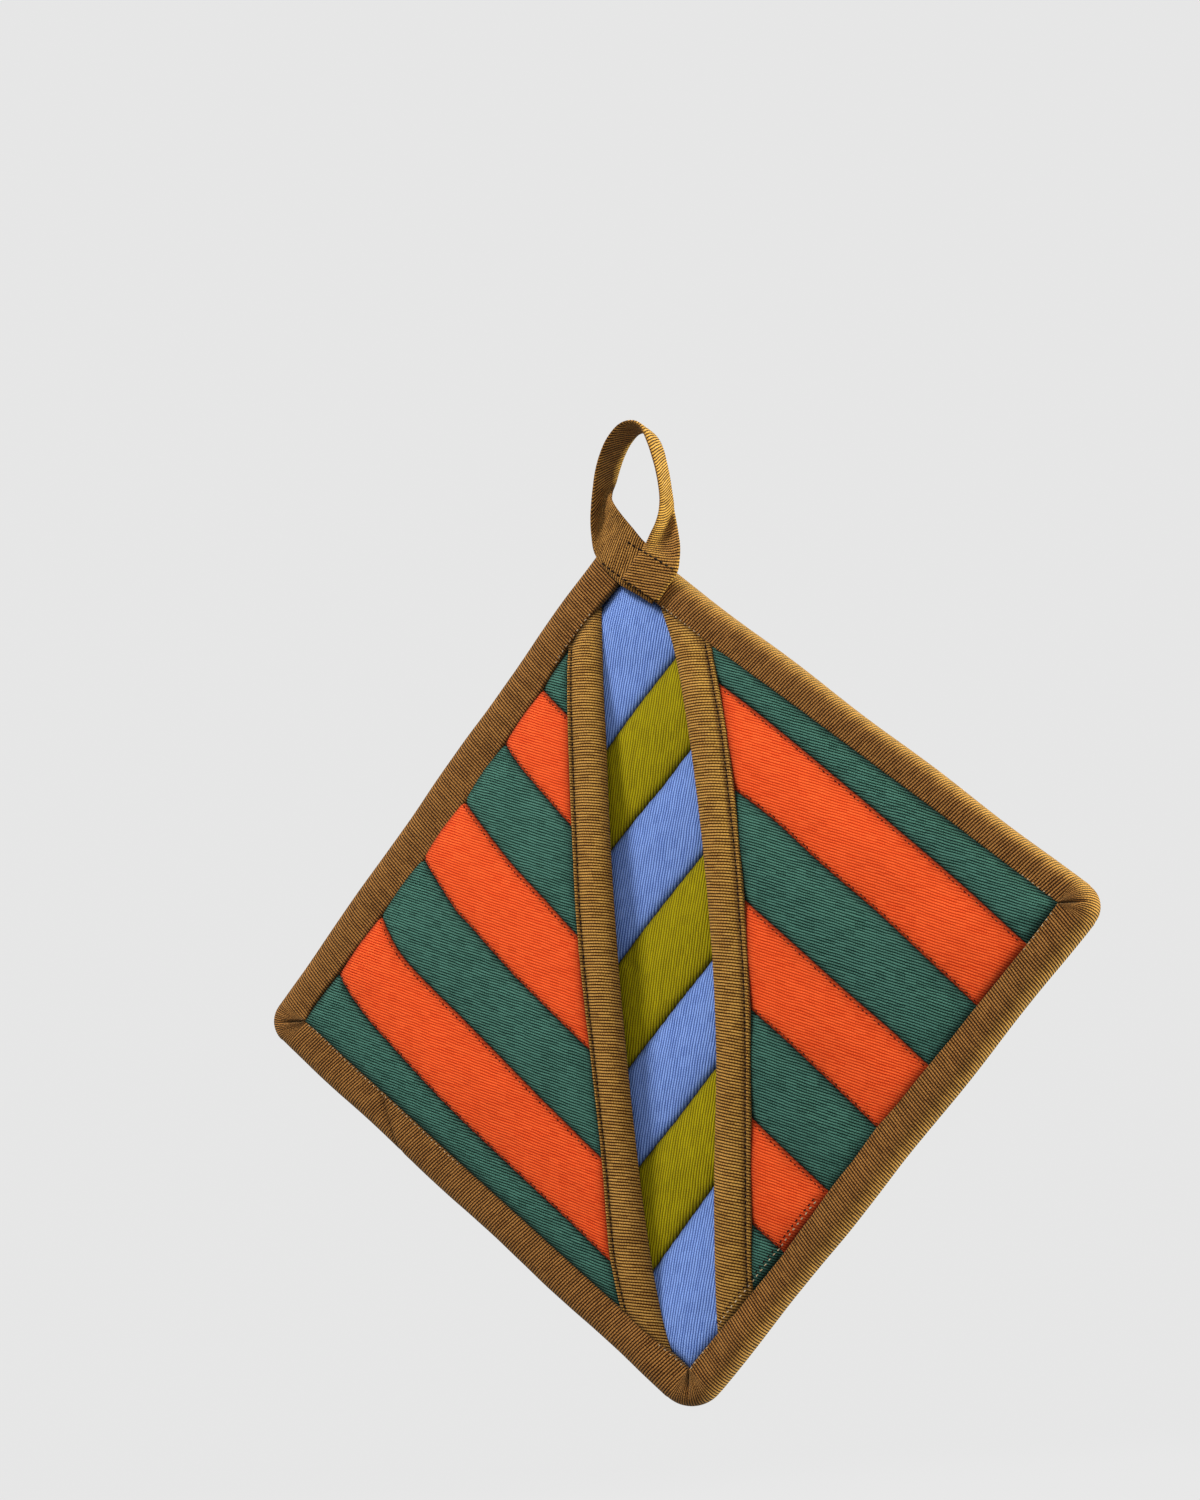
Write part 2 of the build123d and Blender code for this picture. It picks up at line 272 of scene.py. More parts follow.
def tube(name, rings, uv, mat, wrap=False, caps=True, seam=None):
    """A closed tube: rings (m, k, 3) in pad coordinates, joined round.  uv is
    (m (+1), k + 1, 2)."""
    m, k = rings.shape[:2]
    f, ci, cj = grid_faces(m, k, wrap_i=wrap, wrap_j=True)
    faces = f.tolist()
    uvs = [uv[ci, cj].reshape(-1, 2)]
    sms = [seam[ci % m, cj % k].reshape(-1)] if seam is not None else []
    if caps and not wrap:
        faces.append(list(range(k)))
        uvs.append(uv[0, :k])
        faces.append(list(range((m - 1) * k, m * k))[::-1])
        uvs.append(uv[m - 1, :k][::-1])
        if seam is not None:
            sms += [seam[0, :k], seam[m - 1, :k][::-1]]
    ob = mesh_object(name, row(rings.reshape(-1, 3)), faces, np.concatenate(uvs), mat,
                     seam=np.concatenate(sms) if sms else None)
    tidy(ob)
    return ob


def tidy(ob, dist=2e-6):
    """Merge doubled points and turn every face outwards."""
    import bmesh

    bm = bmesh.new()
    bm.from_mesh(ob.data)
    bmesh.ops.remove_doubles(bm, verts=bm.verts, dist=dist)
    bmesh.ops.dissolve_degenerate(bm, edges=bm.edges, dist=1e-7)
    bmesh.ops.recalc_face_normals(bm, faces=bm.faces)
    bm.to_mesh(ob.data)
    bm.free()
    ob.data.update()


def pad_of(ob):
    co = np.empty(len(ob.data.vertices) * 3)
    ob.data.vertices.foreach_get("co", co)
    co = co.reshape(-1, 3) * 1000
    return co[:, 0] - PX, co[:, 2] - PZ, co[:, 1] - PY


def tree_of(*objs):
    """A search tree of the pieces, in pad coordinates (u, v, y)."""
    from mathutils.bvhtree import BVHTree

    V, F, base = [], [], 0
    for ob in objs:
        u, v, y = pad_of(ob)
        V += list(zip(u.tolist(), v.tolist(), y.tolist()))
        F += [[base + i for i in poly.vertices] for poly in ob.data.polygons]
        base += len(u)
    return BVHTree.FromPolygons(V, F)


def drop(uv, tree, front=True, default=5.0):
    """Lay points on the pieces, looking straight in from the front or back."""
    out = []
    z0, dz = (-60.0, 1.0) if front else (60.0, -1.0)
    for a, b in np.asarray(uv, float):
        hit = tree.ray_cast(Vector((a, b, z0)), Vector((0, 0, dz)))[0]
        out.append(hit.z if hit is not None else np.nan)
    out = np.array(out)
    bad = np.isnan(out)
    if bad.all():
        out[:] = -default
    elif bad.any():
        i = np.arange(len(out))
        out[bad] = np.interp(i[bad], i[~bad], out[~bad])
    # even out, so that a thread does not jump
    k = np.ones(5) / 5
    if len(out) > 9:
        out = np.convolve(np.pad(out, 2, mode="edge"), k, mode="valid")
    return np.column_stack([np.asarray(uv, float), out])


def sight_drop(uv_seen, tree, default=6.0):
    """Lay points on the pieces along the lines of sight they were measured on."""
    out = []
    eye = Vector((SIGHT[0], SIGHT[1], -SIGHT[2]))
    for a, b in np.asarray(uv_seen, float):
        d = Vector((a, b, 0.0)) - eye
        hit = tree.ray_cast(eye, d.normalized())[0]
        if hit is None:
            q = lift(np.array([a, b]), default)
            out.append((q[0], q[1], -default))
        else:
            out.append(tuple(hit))
    return np.array(out)


def fold_blend(ob, *nodes):
    """Cloth that crosses the centre fold."""
    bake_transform(ob)
    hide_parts(*nodes)
    return ob


def pocket_blend(ob, side, *nodes):
    """Pocket cloth: bakes its place into the mesh and hides the CAD parts it stands for."""
    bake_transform(ob)
    u, v, _ = pad_of(ob)
    if nodes:
        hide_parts(*nodes)
    return ob


# ---------------------------------------------------------------------------
# materials
# ---------------------------------------------------------------------------
def srgb(r, g, b):
    def f(c):
        c /= 255
        return c / 12.92 if c <= 0.04045 else ((c + 0.055) / 1.055) ** 2.4

    return (f(r), f(g), f(b), 1.0)


def twill(name, dark, mid, light, angle, pitch=0.82, cross=0.74, bump=0.6, sheen=0.03,
          sheen_tint=(1, 1, 1), rough=0.84, contrast=1.0, blotch=0.08, spec=0.12, seam_shade=0.72,
          seam_shade_width=0.95, wander_mm=0.55, stops=(0.12, 0.55, 0.98)):
    """Cotton twill: slanting ribs at angle degrees to the weave map's u axis,
    broken into floats where the other yarn crosses them."""
    mat = bpy.data.materials.new(name)
    mat.use_nodes = True
    nt = mat.node_tree
    nt.nodes.clear()
    N, L = nt.nodes.new, nt.links.new

    def math_(op, a, b=None, c=None):
        n = N("ShaderNodeMath")
        n.operation = op
        for i, x in enumerate((a, b, c)):
            if x is None:
                continue
            if isinstance(x, (int, float)):
                n.inputs[i].default_value = x
            else:
                L(x, n.inputs[i])
        return n.outputs[0]

    uv = N("ShaderNodeUVMap")
    uv.uv_map = "weave"
    rot = N("ShaderNodeVectorRotate")
    rot.rotation_type = "Z_AXIS"
    rot.inputs["Angle"].default_value = -math.radians(angle)
    L(uv.outputs[0], rot.inputs["Vector"])
    sep = N("ShaderNodeSeparateXYZ")
    L(rot.outputs[0], sep.inputs[0])
    x, y = sep.outputs[0], sep.outputs[1]

    # yarns wander a little
    wander = N("ShaderNodeTexNoise")
    wander.noise_dimensions = "2D"
    wander.inputs["Scale"].default_value = 0.11
    wander.inputs["Detail"].default_value = 2.0
    L(rot.outputs[0], wander.inputs["Vector"])
    w0 = math_("SUBTRACT", wander.outputs[0], 0.5)
    yy = math_("MULTIPLY_ADD", w0, wander_mm, y)
    rib_phase = math_("DIVIDE", yy, pitch)
    idx = math_("FLOOR", rib_phase)
    fr = math_("SUBTRACT", rib_phase, idx)
    # rounded rib with a narrow gap
    a = math_("MULTIPLY_ADD", fr, 2.0, -1.0)
    a2 = math_("MULTIPLY", a, a)
    rib = math_("SUBTRACT", 1.0, math_("POWER", a2, 1.25))
    # floats along the rib, stepped from rib to rib
    step = N("ShaderNodeTexWhiteNoise")
    step.noise_dimensions = "1D"
    L(idx, step.inputs["W"])
    px = math_("ADD", math_("MULTIPLY_ADD", step.outputs["Value"], 0.5, math_("MULTIPLY", idx, 0.37)),
               math_("DIVIDE", x, cross))
    fx = math_("FRACT", px)
    b = math_("MULTIPLY_ADD", fx, 2.0, -1.0)
    b2 = math_("MULTIPLY", b, b)
    flt = math_("SUBTRACT", 1.0, math_("MULTIPLY", math_("MULTIPLY", b2, b2), 0.24))
    height = math_("MULTIPLY", rib, flt)

    # each yarn has its own shade
    yarn = N("ShaderNodeTexWhiteNoise")
    yarn.noise_dimensions = "2D"
    cmb = N("ShaderNodeCombineXYZ")
    L(idx, cmb.inputs[0])
    L(math_("FLOOR", math_("MULTIPLY", px, 0.23)), cmb.inputs[1])
    L(cmb.outputs[0], yarn.inputs["Vector"])
    shade = math_("MULTIPLY_ADD", yarn.outputs["Value"], 0.16, -0.08)
    fuzz = N("ShaderNodeTexNoise")
    fuzz.noise_dimensions = "2D"
    fuzz.inputs["Scale"].default_value = 2.6
    fuzz.inputs["Detail"].default_value = 3.0
    L(rot.outputs[0], fuzz.inputs["Vector"])
    fz = math_("MULTIPLY_ADD", fuzz.outputs[0], 0.30, -0.15)
    big = N("ShaderNodeTexNoise")
    big.noise_dimensions = "2D"
    big.inputs["Scale"].default_value = 0.035
    big.inputs["Detail"].default_value = 3.0
    L(uv.outputs[0], big.inputs["Vector"])
    bl = math_("MULTIPLY_ADD", big.outputs[0], 2 * blotch, -blotch)

    # colour follows the rib height: dark in the gaps, light on the rib tops; partly the crossing yarn's own shade,
    # partly painted shade in the gaps and a painted highlight on the tops
    t = math_("ADD", math_("ADD", math_("MULTIPLY_ADD", height, contrast, 0.5 - 0.5 * contrast), shade), fz)
    ramp = N("ShaderNodeValToRGB")
    ramp.color_ramp.elements[0].position = stops[0]
    ramp.color_ramp.elements[0].color = dark
    ramp.color_ramp.elements[1].position = stops[2]
    ramp.color_ramp.elements[1].color = light
    e = ramp.color_ramp.elements.new(stops[1])
    e.color = mid
    L(t, ramp.inputs[0])
    hsv = N("ShaderNodeHueSaturation")
    L(ramp.outputs[0], hsv.inputs["Color"])
    # painted shade: the colour darkens towards the nearest seam, ditch or binding edge, by the distance held in the
    # seam map
    sm = N("ShaderNodeUVMap")
    sm.uv_map = "seam"
    ssep = N("ShaderNodeSeparateXYZ")
    L(sm.outputs[0], ssep.inputs[0])
    near = math_("EXPONENT", math_("DIVIDE", ssep.outputs[0], -seam_shade_width))
    val = math_("MULTIPLY", math_("ADD", bl, 1.0), math_("MULTIPLY_ADD", near, -seam_shade, 1.0))
    L(val, hsv.inputs["Value"])

    bsdf = N("ShaderNodeBsdfPrincipled")
    L(hsv.outputs[0], bsdf.inputs["Base Color"])
    L(math_("MULTIPLY_ADD", height, -0.10, rough + 0.05), bsdf.inputs["Roughness"])
    bsdf.inputs["Specular IOR Level"].default_value = spec
    bsdf.inputs["Sheen Weight"].default_value = sheen
    bsdf.inputs["Sheen Roughness"].default_value = 0.45
    bsdf.inputs["Sheen Tint"].default_value = (*sheen_tint, 1)
    hb = math_("ADD", height, math_("MULTIPLY", fuzz.outputs[0], 0.25))
    bp = N("ShaderNodeBump")
    bp.inputs["Strength"].default_value = bump
    bp.inputs["Distance"].default_value = 0.00030
    L(hb, bp.inputs["Height"])
    L(bp.outputs[0], bsdf.inputs["Normal"])
    out = N("ShaderNodeOutputMaterial")
    L(bsdf.outputs[0], out.inputs[0])
    return mat


def yarn_material(name, colour, lighter):
    """Spun sewing thread: fine plies round each stitch."""
    mat = bpy.data.materials.new(name)
    mat.use_nodes = True
    nt = mat.node_tree
    nt.nodes.clear()
    N, L = nt.nodes.new, nt.links.new
    uv = N("ShaderNodeUVMap")
    uv.uv_map = "weave"
    wave = N("ShaderNodeTexWave")
    wave.wave_type = "BANDS"
    wave.bands_direction = "DIAGONAL"
    wave.inputs["Scale"].default_value = 1.6
    wave.inputs["Distortion"].default_value = 0.6
    L(uv.outputs[0], wave.inputs["Vector"])
    ramp = N("ShaderNodeValToRGB")
    ramp.color_ramp.elements[0].color = colour
    ramp.color_ramp.elements[1].color = lighter
    L(wave.outputs["Fac"], ramp.inputs[0])
    bsdf = N("ShaderNodeBsdfPrincipled")
    L(ramp.outputs[0], bsdf.inputs["Base Color"])
    bsdf.inputs["Roughness"].default_value = 0.7
    bsdf.inputs["Specular IOR Level"].default_value = 0.15
    bp = N("ShaderNodeBump")
    bp.inputs["Strength"].default_value = 0.5
    bp.inputs["Distance"].default_value = 0.00008
    L(wave.outputs["Fac"], bp.inputs["Height"])
    L(bp.outputs[0], bsdf.inputs["Normal"])
    out = N("ShaderNodeOutputMaterial")
    L(bsdf.outputs[0], out.inputs[0])
    return mat


def fleece_material(name, a, b):
    """Batting and wadding: a soft felted mass of fibres."""
    mat = bpy.data.materials.new(name)
    mat.use_nodes = True
    nt = mat.node_tree
    nt.nodes.clear()
    N, L = nt.nodes.new, nt.links.new
    uv = N("ShaderNodeUVMap")
    uv.uv_map = "weave"
    n1 = N("ShaderNodeTexNoise")
    n1.inputs["Scale"].default_value = 1.4
    n1.inputs["Detail"].default_value = 6.0
    L(uv.outputs[0], n1.inputs["Vector"])
    ramp = N("ShaderNodeValToRGB")
    ramp.color_ramp.elements[0].position = 0.3
    ramp.color_ramp.elements[0].color = a
    ramp.color_ramp.elements[1].position = 0.7
    ramp.color_ramp.elements[1].color = b
    L(n1.outputs[0], ramp.inputs[0])
    bsdf = N("ShaderNodeBsdfPrincipled")
    L(ramp.outputs[0], bsdf.inputs["Base Color"])
    bsdf.inputs["Roughness"].default_value = 0.95
    bsdf.inputs["Sheen Weight"].default_value = 0.3
    bp = N("ShaderNodeBump")
    bp.inputs["Strength"].default_value = 0.5
    bp.inputs["Distance"].default_value = 0.0004
    L(n1.outputs[0], bp.inputs["Height"])
    L(bp.outputs[0], bsdf.inputs["Normal"])
    out = N("ShaderNodeOutputMaterial")
    L(bsdf.outputs[0], out.inputs[0])
    return mat


# each colour gives the twill's gap, middle and rib-top shades; the dark and light ones hold painted shade and a painted
# highlight as well as the cloth's own colour
ORANGE = (srgb(172, 38, 3), srgb(214, 62, 12), srgb(250, 108, 50))
GREEN = (srgb(0, 14, 10), srgb(14, 54, 43), srgb(104, 150, 136))
BLUE = (srgb(52, 78, 142), srgb(92, 122, 190), srgb(150, 180, 238))
OLIVE = (srgb(74, 64, 0), srgb(130, 116, 0), srgb(176, 164, 4))
BRONZE = (srgb(24, 6, 0), srgb(94, 54, 10), srgb(204, 156, 100))
BRONZE_EDGE = (srgb(22, 5, 0), srgb(86, 48, 8), srgb(196, 150, 96))



def tint(colours, r, g, b):
    """The same three shades, each channel scaled."""
    return tuple((c[0] * r, c[1] * g, c[2] * b, 1.0) for c in colours)


ORANGE = tint(ORANGE, 1.0, 0.88, 0.80)
GREEN = tint(GREEN, 0.55, 0.68, 0.63)
BLUE = tint(BLUE, 0.84, 0.87, 0.95)
OLIVE = tint(OLIVE, 0.94, 0.90, 0.8)
BRONZE = tint(BRONZE, 0.91, 0.87, 0.50)
BRONZE_EDGE = tint(BRONZE_EDGE, 0.68, 0.55, 0.34)

M_ORANGE = twill("orange_twill", *ORANGE, angle=-25.0)
M_GREEN = twill("green_twill", *GREEN, angle=-24.5, sheen=0.02, sheen_tint=(0.6, 1.0, 0.9))
M_BLUE = twill("blue_twill", *BLUE, angle=74.0)
M_OLIVE = twill("olive_twill", *OLIVE, angle=75.5, sheen=0.0)
_b = dict(pitch=0.90, cross=0.95, bump=0.9, sheen_tint=(1.0, 0.72, 0.36), spec=0.10, seam_shade=0.7,
          seam_shade_width=0.5, wander_mm=0.35, stops=(0.20, 0.62, 1.0))
M_BIND = twill("bronze_binding_twill", *BRONZE_EDGE, angle=80.0, sheen=0.20, **_b)
M_MOUTH = {
    "left": twill("bronze_mouth_twill_left", *BRONZE, angle=82.0, sheen=0.08, **_b),
    "right": twill("bronze_mouth_twill_right", *BRONZE, angle=99.0, sheen=0.08, **_b),
}
M_STRAP = twill("bronze_strap_twill", *tint(BRONZE_EDGE, 1.22, 1.32, 1.22), angle=71.0, sheen=0.12, **_b)
M_BACK = twill("backing_twill", *GREEN, angle=64.0, sheen=0.02, sheen_tint=(0.6, 1.0, 0.9))
M_LINING = twill("lining_twill", *GREEN, angle=30.0, sheen=0.02)
M_BATTING = fleece_material("batting_fleece", srgb(214, 210, 198), srgb(240, 237, 228))
M_WADDING = fleece_material("wadding_fleece", srgb(150, 152, 156), srgb(196, 198, 200))
M_THREAD = yarn_material("thread_dark", srgb(14, 6, 2), srgb(42, 24, 14))
M_THREAD_TAN = yarn_material("thread_tan", srgb(150, 120, 84), srgb(226, 204, 168))

COLOUR = {"orange": M_ORANGE, "green": M_GREEN, "blue": M_BLUE, "olive": M_OLIVE}

# ---------------------------------------------------------------------------
# the layout of the pad, in pad coordinates
# ---------------------------------------------------------------------------
# outer outline corners and how round each one is
TOP, RIGHT, BOTTOM, LEFT = (0.0, 141.0), (142.6, -0.4), (-0.9, -138.6), (-138.4, -2.6)
ROUND = {"top": 5.0, "right": 7.5, "bottom": 11.0, "left": 8.0}
# inner edge of the edge binding, on the face, as seen
IN_TL = [(-1.8, 123.0), (-8.3, 117.2), (-21.5, 104.9), (-31.4, 92.6), (-46.0, 77.2), (-61.4, 60.0),
         (-77.7, 43.4), (-94.5, 27.5), (-111.5, 11.1), (-124.7, -1.6)]
IN_BL = [(-124.7, -1.6), (-116.7, -10.1), (-110.2, -17.1), (-99.0, -27.9), (-74.0, -53.0), (-47.0, -79.3),
         (-22.3, -103.3), (-7.1, -117.6), (-1.4, -122.6)]
IN_TR = [(1.0, 123.6), (10.3, 114.6), (27.8, 97.0), (48.2, 77.9), (66.1, 60.7), (79.0, 48.2), (94.4, 33.4), (107.7, 20.3),
         (119.9, 8.1), (127.0, 1.2)]
IN_BR = [(127.0, 1.2), (116.3, -9.7), (99.2, -25.8), (82.7, -41.4), (64.6, -58.0), (47.6, -75.3),
         (32.1, -91.7), (20.9, -102.4), (7.2, -115.0), (-1.4, -122.6)]
BIND_D = 5.2
inner = {k: lift(np.array(p), BIND_D) for k, p in
         (("TL", IN_TL), ("BL", IN_BL), ("TR", IN_TR), ("BR", IN_BR))}


def straight(p):
    """Best straight line through points, as its two ends."""
    p = np.asarray(p, float)
    c = p.mean(0)
    d = np.linalg.svd(p - c)[2][0]
    t = (p - c) @ d
    a, b = c + d * t.min(), c + d * t.max()
    return (a, b) if np.linalg.norm(a - p[0]) < np.linalg.norm(b - p[0]) else (b, a)


LINE = {k: straight(p) for k, p in inner.items()}


def edge_dist(u, v, sides):
    """How far inside the binding's inner edge, the nearest of the sides."""
    d = np.full(np.shape(u), 1e9)
    for k in sides:
        a, b = LINE[k]
        s = line_side(u, v, a, b)
        mid = line_side(0.0, 0.0, a, b)
        d = np.minimum(d, s if mid > 0 else -s)
    return d


POCKETS = {
    "left": dict(
        sign=-1, sides=("TL", "BL"), lift=8.0,
        seams=[
            [(-31.0, 92.8), (-22.8, 82.3)],
            [(-46.0, 77.2), (-40.3, 67.5), (-24.8, 46.3)],
            [(-61.4, 60.0), (-48.1, 39.7), (-36.0, 24.4), (-25.9, 11.3)],
            [(-77.7, 43.4), (-68.3, 26.4), (-63.0, 19.8), (-49.6, 2.7), (-40.7, -7.4), (-26.0, -23.9)],
            [(-94.6, 27.0), (-86.9, 12.0), (-66.6, -11.0), (-43.4, -37.3), (-24.2, -58.5)],
            [(-111.6, 10.6), (-107.8, 3.1), (-101.9, -5.6), (-95.5, -13.4), (-82.0, -29.4), (-65.6, -47.2),
             (-50.4, -62.8), (-37.2, -76.2), (-24.7, -89.7)],
        ],
        free=[(-8.6, 116.6), (-10.4, 90.3), (-11.2, 70.2), (-12.7, 38.3), (-13.5, 3.0), (-13.4, -28.5),
              (-12.9, -54.7), (-12.3, -72.0), (-11.0, -92.4), (-9.2, -107.5), (-7.1, -117.8)],
        body=[(-21.6, 103.6), (-23.4, 82.9), (-25.2, 47.6), (-26.2, 12.8), (-25.7, -14.6), (-25.3, -24.7),
              (-24.5, -57.1), (-24.6, -84.2), (-24.0, -92.8), (-22.7, -103.0)],
        free_d=1.2,
    ),
    "right": dict(
        sign=1, sides=("TR", "BR"), lift=6.5,
        seams=[
            [(116.3, -9.5), (100.5, 9.0), (83.8, 27.4), (69.3, 43.0), (52.7, 60.7), (39.4, 74.6), (28.8, 84.9)],
            [(99.2, -25.8), (85.5, -9.7), (71.4, 6.7), (55.0, 24.3), (42.0, 39.2), (30.3, 50.6)],
            [(82.7, -41.6), (72.3, -29.7), (58.8, -15.5), (40.5, 4.6), (30.0, 15.9)],
            [(64.6, -57.9), (54.5, -46.3), (39.1, -29.0), (28.6, -18.0)],
            [(47.9, -75.4), (25.3, -50.4)],
            [(32.1, -92.3), (22.2, -82.3)],
        ],
        free=[(10.7, 112.9), (14.1, 96.8), (16.3, 67.2), (17.2, 35.6), (17.1, 10.7), (16.6, -8.3),
              (15.3, -28.8), (13.7, -43.9), (10.4, -71.2), (8.0, -99.4), (7.1, -114.2)],
        body=[(27.3, 97.3), (28.7, 81.0), (29.7, 67.5), (30.2, 50.1), (30.2, 30.0), (29.9, 14.9), (29.2, -4.8),
              (27.9, -24.3), (25.9, -45.3), (23.5, -69.2), (22.2, -82.2), (20.8, -99.3), (20.7, -102.6)],
        free_d=4.2,
    ),
}
BASE_SEAMS = [
    [(-10.6, 70.8), (0.7, 82.4), (13.3, 94.3)],
    [(-12.3, 38.2), (6.3, 55.1), (16.6, 65.2)],
    [(-13.0, 2.3), (2.7, 17.8), (16.8, 30.9)],
    [(-13.7, -31.6), (-8.1, -26.0), (16.7, -2.2)],
    [(-12.2, -61.2), (0.3, -49.5), (13.9, -35.9)],
    [(-11.1, -93.6), (-3.1, -85.0), (9.9, -71.3)],
]
Y_FRONT = 3.2   # face of the base quilt, as a depth in front of the middle


def bulge(u, v, pk):
    """How far the pocket lining stands off the base."""
    q = np.clip((POCKET_DIAG - np.abs(u)) / (POCKET_DIAG - 11.0), 0, 1.05)
    s = np.clip(np.abs(v) / np.maximum(POCKET_DIAG - np.abs(u), 1e-3), 0, 1)
    return pk["lift"] * q**1.15 * (1 - s**2) ** 1.1


def pocket_skin(u, v, pk, seed=0):
    """Depth of the pocket's face before quilting."""
    de = edge_dist(u, v, pk["sides"])
    thick = 2.35 + 0.65 * (1 - np.exp(-np.clip(de, 0, None) / 3.0))
    return Y_FRONT + 0.4 + bulge(u, v, pk) + thick + (
        0.42 * ripple(u, v, 38, seed) + 0.12 * ripple(u, v, 15, seed + 3)) * np.clip(de / 12, 0, 1)


def settle(uv, depth_fn, rounds=4):
    """Where a seen point lies on a surface that stands off the plane."""
    uv = np.asarray(uv, float)
    p = lift(uv, 6.0)
    for _ in range(rounds):
        p = lift(uv, depth_fn(p[..., 0], p[..., 1]))
    return p


DITCH = 1.05


def quilt(d_up, d_lo, grooves=(True, True), half=10.0, crown=1.5):
    """Height of quilted cloth above its stitched seams: a short steep rise out
    of the ditch, then a full round crown."""
    d = np.full_like(d_up, 30.0)
    if grooves[0]:
        d = np.minimum(d, d_up)
    if grooves[1]:
        d = np.minimum(d, d_lo)
    r = 0.95 * (1 - np.exp(-d / 0.6)) + crown * (1 - np.exp(-d / (0.45 * half)))
    if grooves[0]:  # the seam allowance lies under the upper edge
        r = r + 0.2 * np.exp(-((d_up - 1.3) / 2.0) ** 2)
    return r, d


def strip_mesh(name, U, L, m, n, depth_fn, floor_fn, mat, grooves, seed, sides, mouth=None, sg=0):
    """One strip of cloth between the lines U and L, quilted down at its seams."""
    t = 0.5 * (1 - np.cos(np.pi * np.arange(n) / (n - 1)))
    A, B = resample(U, m), resample(L, m)
    P = A[:, None] * (1 - t)[None, :, None] + B[:, None] * t[None, :, None]
    u, v = P[..., 0], P[..., 1]
    du, dl = poly_dist(u, v, U), poly_dist(u, v, L)
    wid = np.median(np.linalg.norm(A - B, axis=1))
    q, dmin = quilt(du, dl, grooves, half=0.5 * max(wid, 8.0))
    near = np.exp(-dmin / 2.4)
    pucker = 0.16 * np.sin(2 * np.pi * arc_len(0.5 * (A + B))[:, None] / 5.3 + 2.4 * ripple(u, v, 22, seed)) * near
    de = edge_dist(u, v, sides)
    dip = 1.1 * np.exp(-np.clip(de, 0, None) / 1.2) + 1.9 * np.clip(-de / 1.4, 0, 1)
    # painted shade: seam is the distance to the quilting seams, the edge binding and the mouth binding, where the twill
    # paints the cloth darker
    seam = dmin.copy()
    seam = np.minimum(seam, np.clip(de, 0, None) * 0.8)
    if mouth is not None:
        g = mouth[np.argsort(mouth[:, 1])]
        dm = (u - np.interp(v, g[:, 1], g[:, 0])) * sg
        dip = dip + 0.95 * np.exp(-np.clip(dm, 0, None) / 1.6) + 1.7 * np.clip(-dm / 1.3, 0, 1)
        seam = np.minimum(seam, np.clip(dm, 0, None) * 0.8)
    base = depth_fn(u, v) - DITCH
    fl = floor_fn(u, v)
    d = np.maximum(base + q + pucker - dip, fl + 0.14)
    lowest = np.minimum(np.maximum(d - 0.62, fl), d - 0.12)
    top = np.stack([u, v, -d], -1)
    bot = np.stack([u, v, -lowest], -1)
    ob = shell(name, top, bot, np.stack([u, v], -1), mat, seam=seam)
    return ob


def curve_of(points, depth_fn, n=60, before=0.0, after=0.0):
    p = settle(np.array(points), depth_fn)
    p = smooth_curve(p, n) if len(p) > 2 else resample(p, n)
    return extend(p, before, after)


# ---------------------------------------------------------------------------
# stitches
# ---------------------------------------------------------------------------
def stitch_mesh(name, rows, mat, radius=0.22, front=-1):
    """rows: list of (path (n, 3) in pad coordinates, pitch, length, lift).
    Each stitch is a short rounded thread that dips into the cloth at its ends."""
    rings, sides = 6, 7
    V, F, T = [], [], []
    base = 0
    ang = np.linspace(0, 2 * np.pi, sides, endpoint=False)
    for path, pitch, length, up in rows:
        s = arc_len(path)
        total = s[-1]
        k = max(1, int(total / pitch))
        starts = (np.arange(k) + 0.5) * (total / k) - length / 2
        for s0 in starts:
            ln = length * rng.uniform(0.92, 1.06)
            jit = rng.normal(0, 0.05)
            tt = np.linspace(s0, s0 + ln, rings)
            c = np.stack([np.interp(tt, s, path[:, i]) for i in range(3)], 1)
            d = c[-1] - c[0]
            d /= max(np.linalg.norm(d), 1e-9)
            nrm = np.array([0, 0, float(front)])
            sidev = np.cross(d, nrm)
            sidev /= max(np.linalg.norm(sidev), 1e-9)
            x = np.linspace(-1, 1, rings)
            arch = (1 - x**4) * (radius * 1.15 + up) - radius * 1.1
            c = c + nrm * arch[:, None] + sidev * (jit * x)[:, None]
            r = radius * np.sqrt(np.clip(1 - 0.75 * x**4, 0.02, 1))
            ring = (
                c[:, None]
                + sidev * (np.cos(ang) * 1.0)[None, :, None] * r[:, None, None]
                + nrm * (np.sin(ang) * 0.85)[None, :, None] * r[:, None, None]
            )
            V.append(ring.reshape(-1, 3))
            f, ci, cj = grid_faces(rings, sides, wrap_j=True, off=base)
            F += f.tolist()
            T.append(np.stack([ci * 1.0 + s0, cj * 0.4], -1).reshape(-1, 2))
            F.append(list(range(base, base + sides)))
            T.append(np.zeros((sides, 2)))
            F.append(list(range(base + (rings - 1) * sides, base + rings * sides))[::-1])
            T.append(np.zeros((sides, 2)))
            base += rings * sides
    ob = mesh_object(name, row(np.concatenate(V)), F, np.concatenate(T), mat)
    tidy(ob, dist=1e-9)
    return ob


# ---------------------------------------------------------------------------
# pockets
# ---------------------------------------------------------------------------
def x_line(p, a, b):
    """Gives back the polyline unchanged; the line a -> b is not used."""
    p = np.asarray(p, float)
    return p


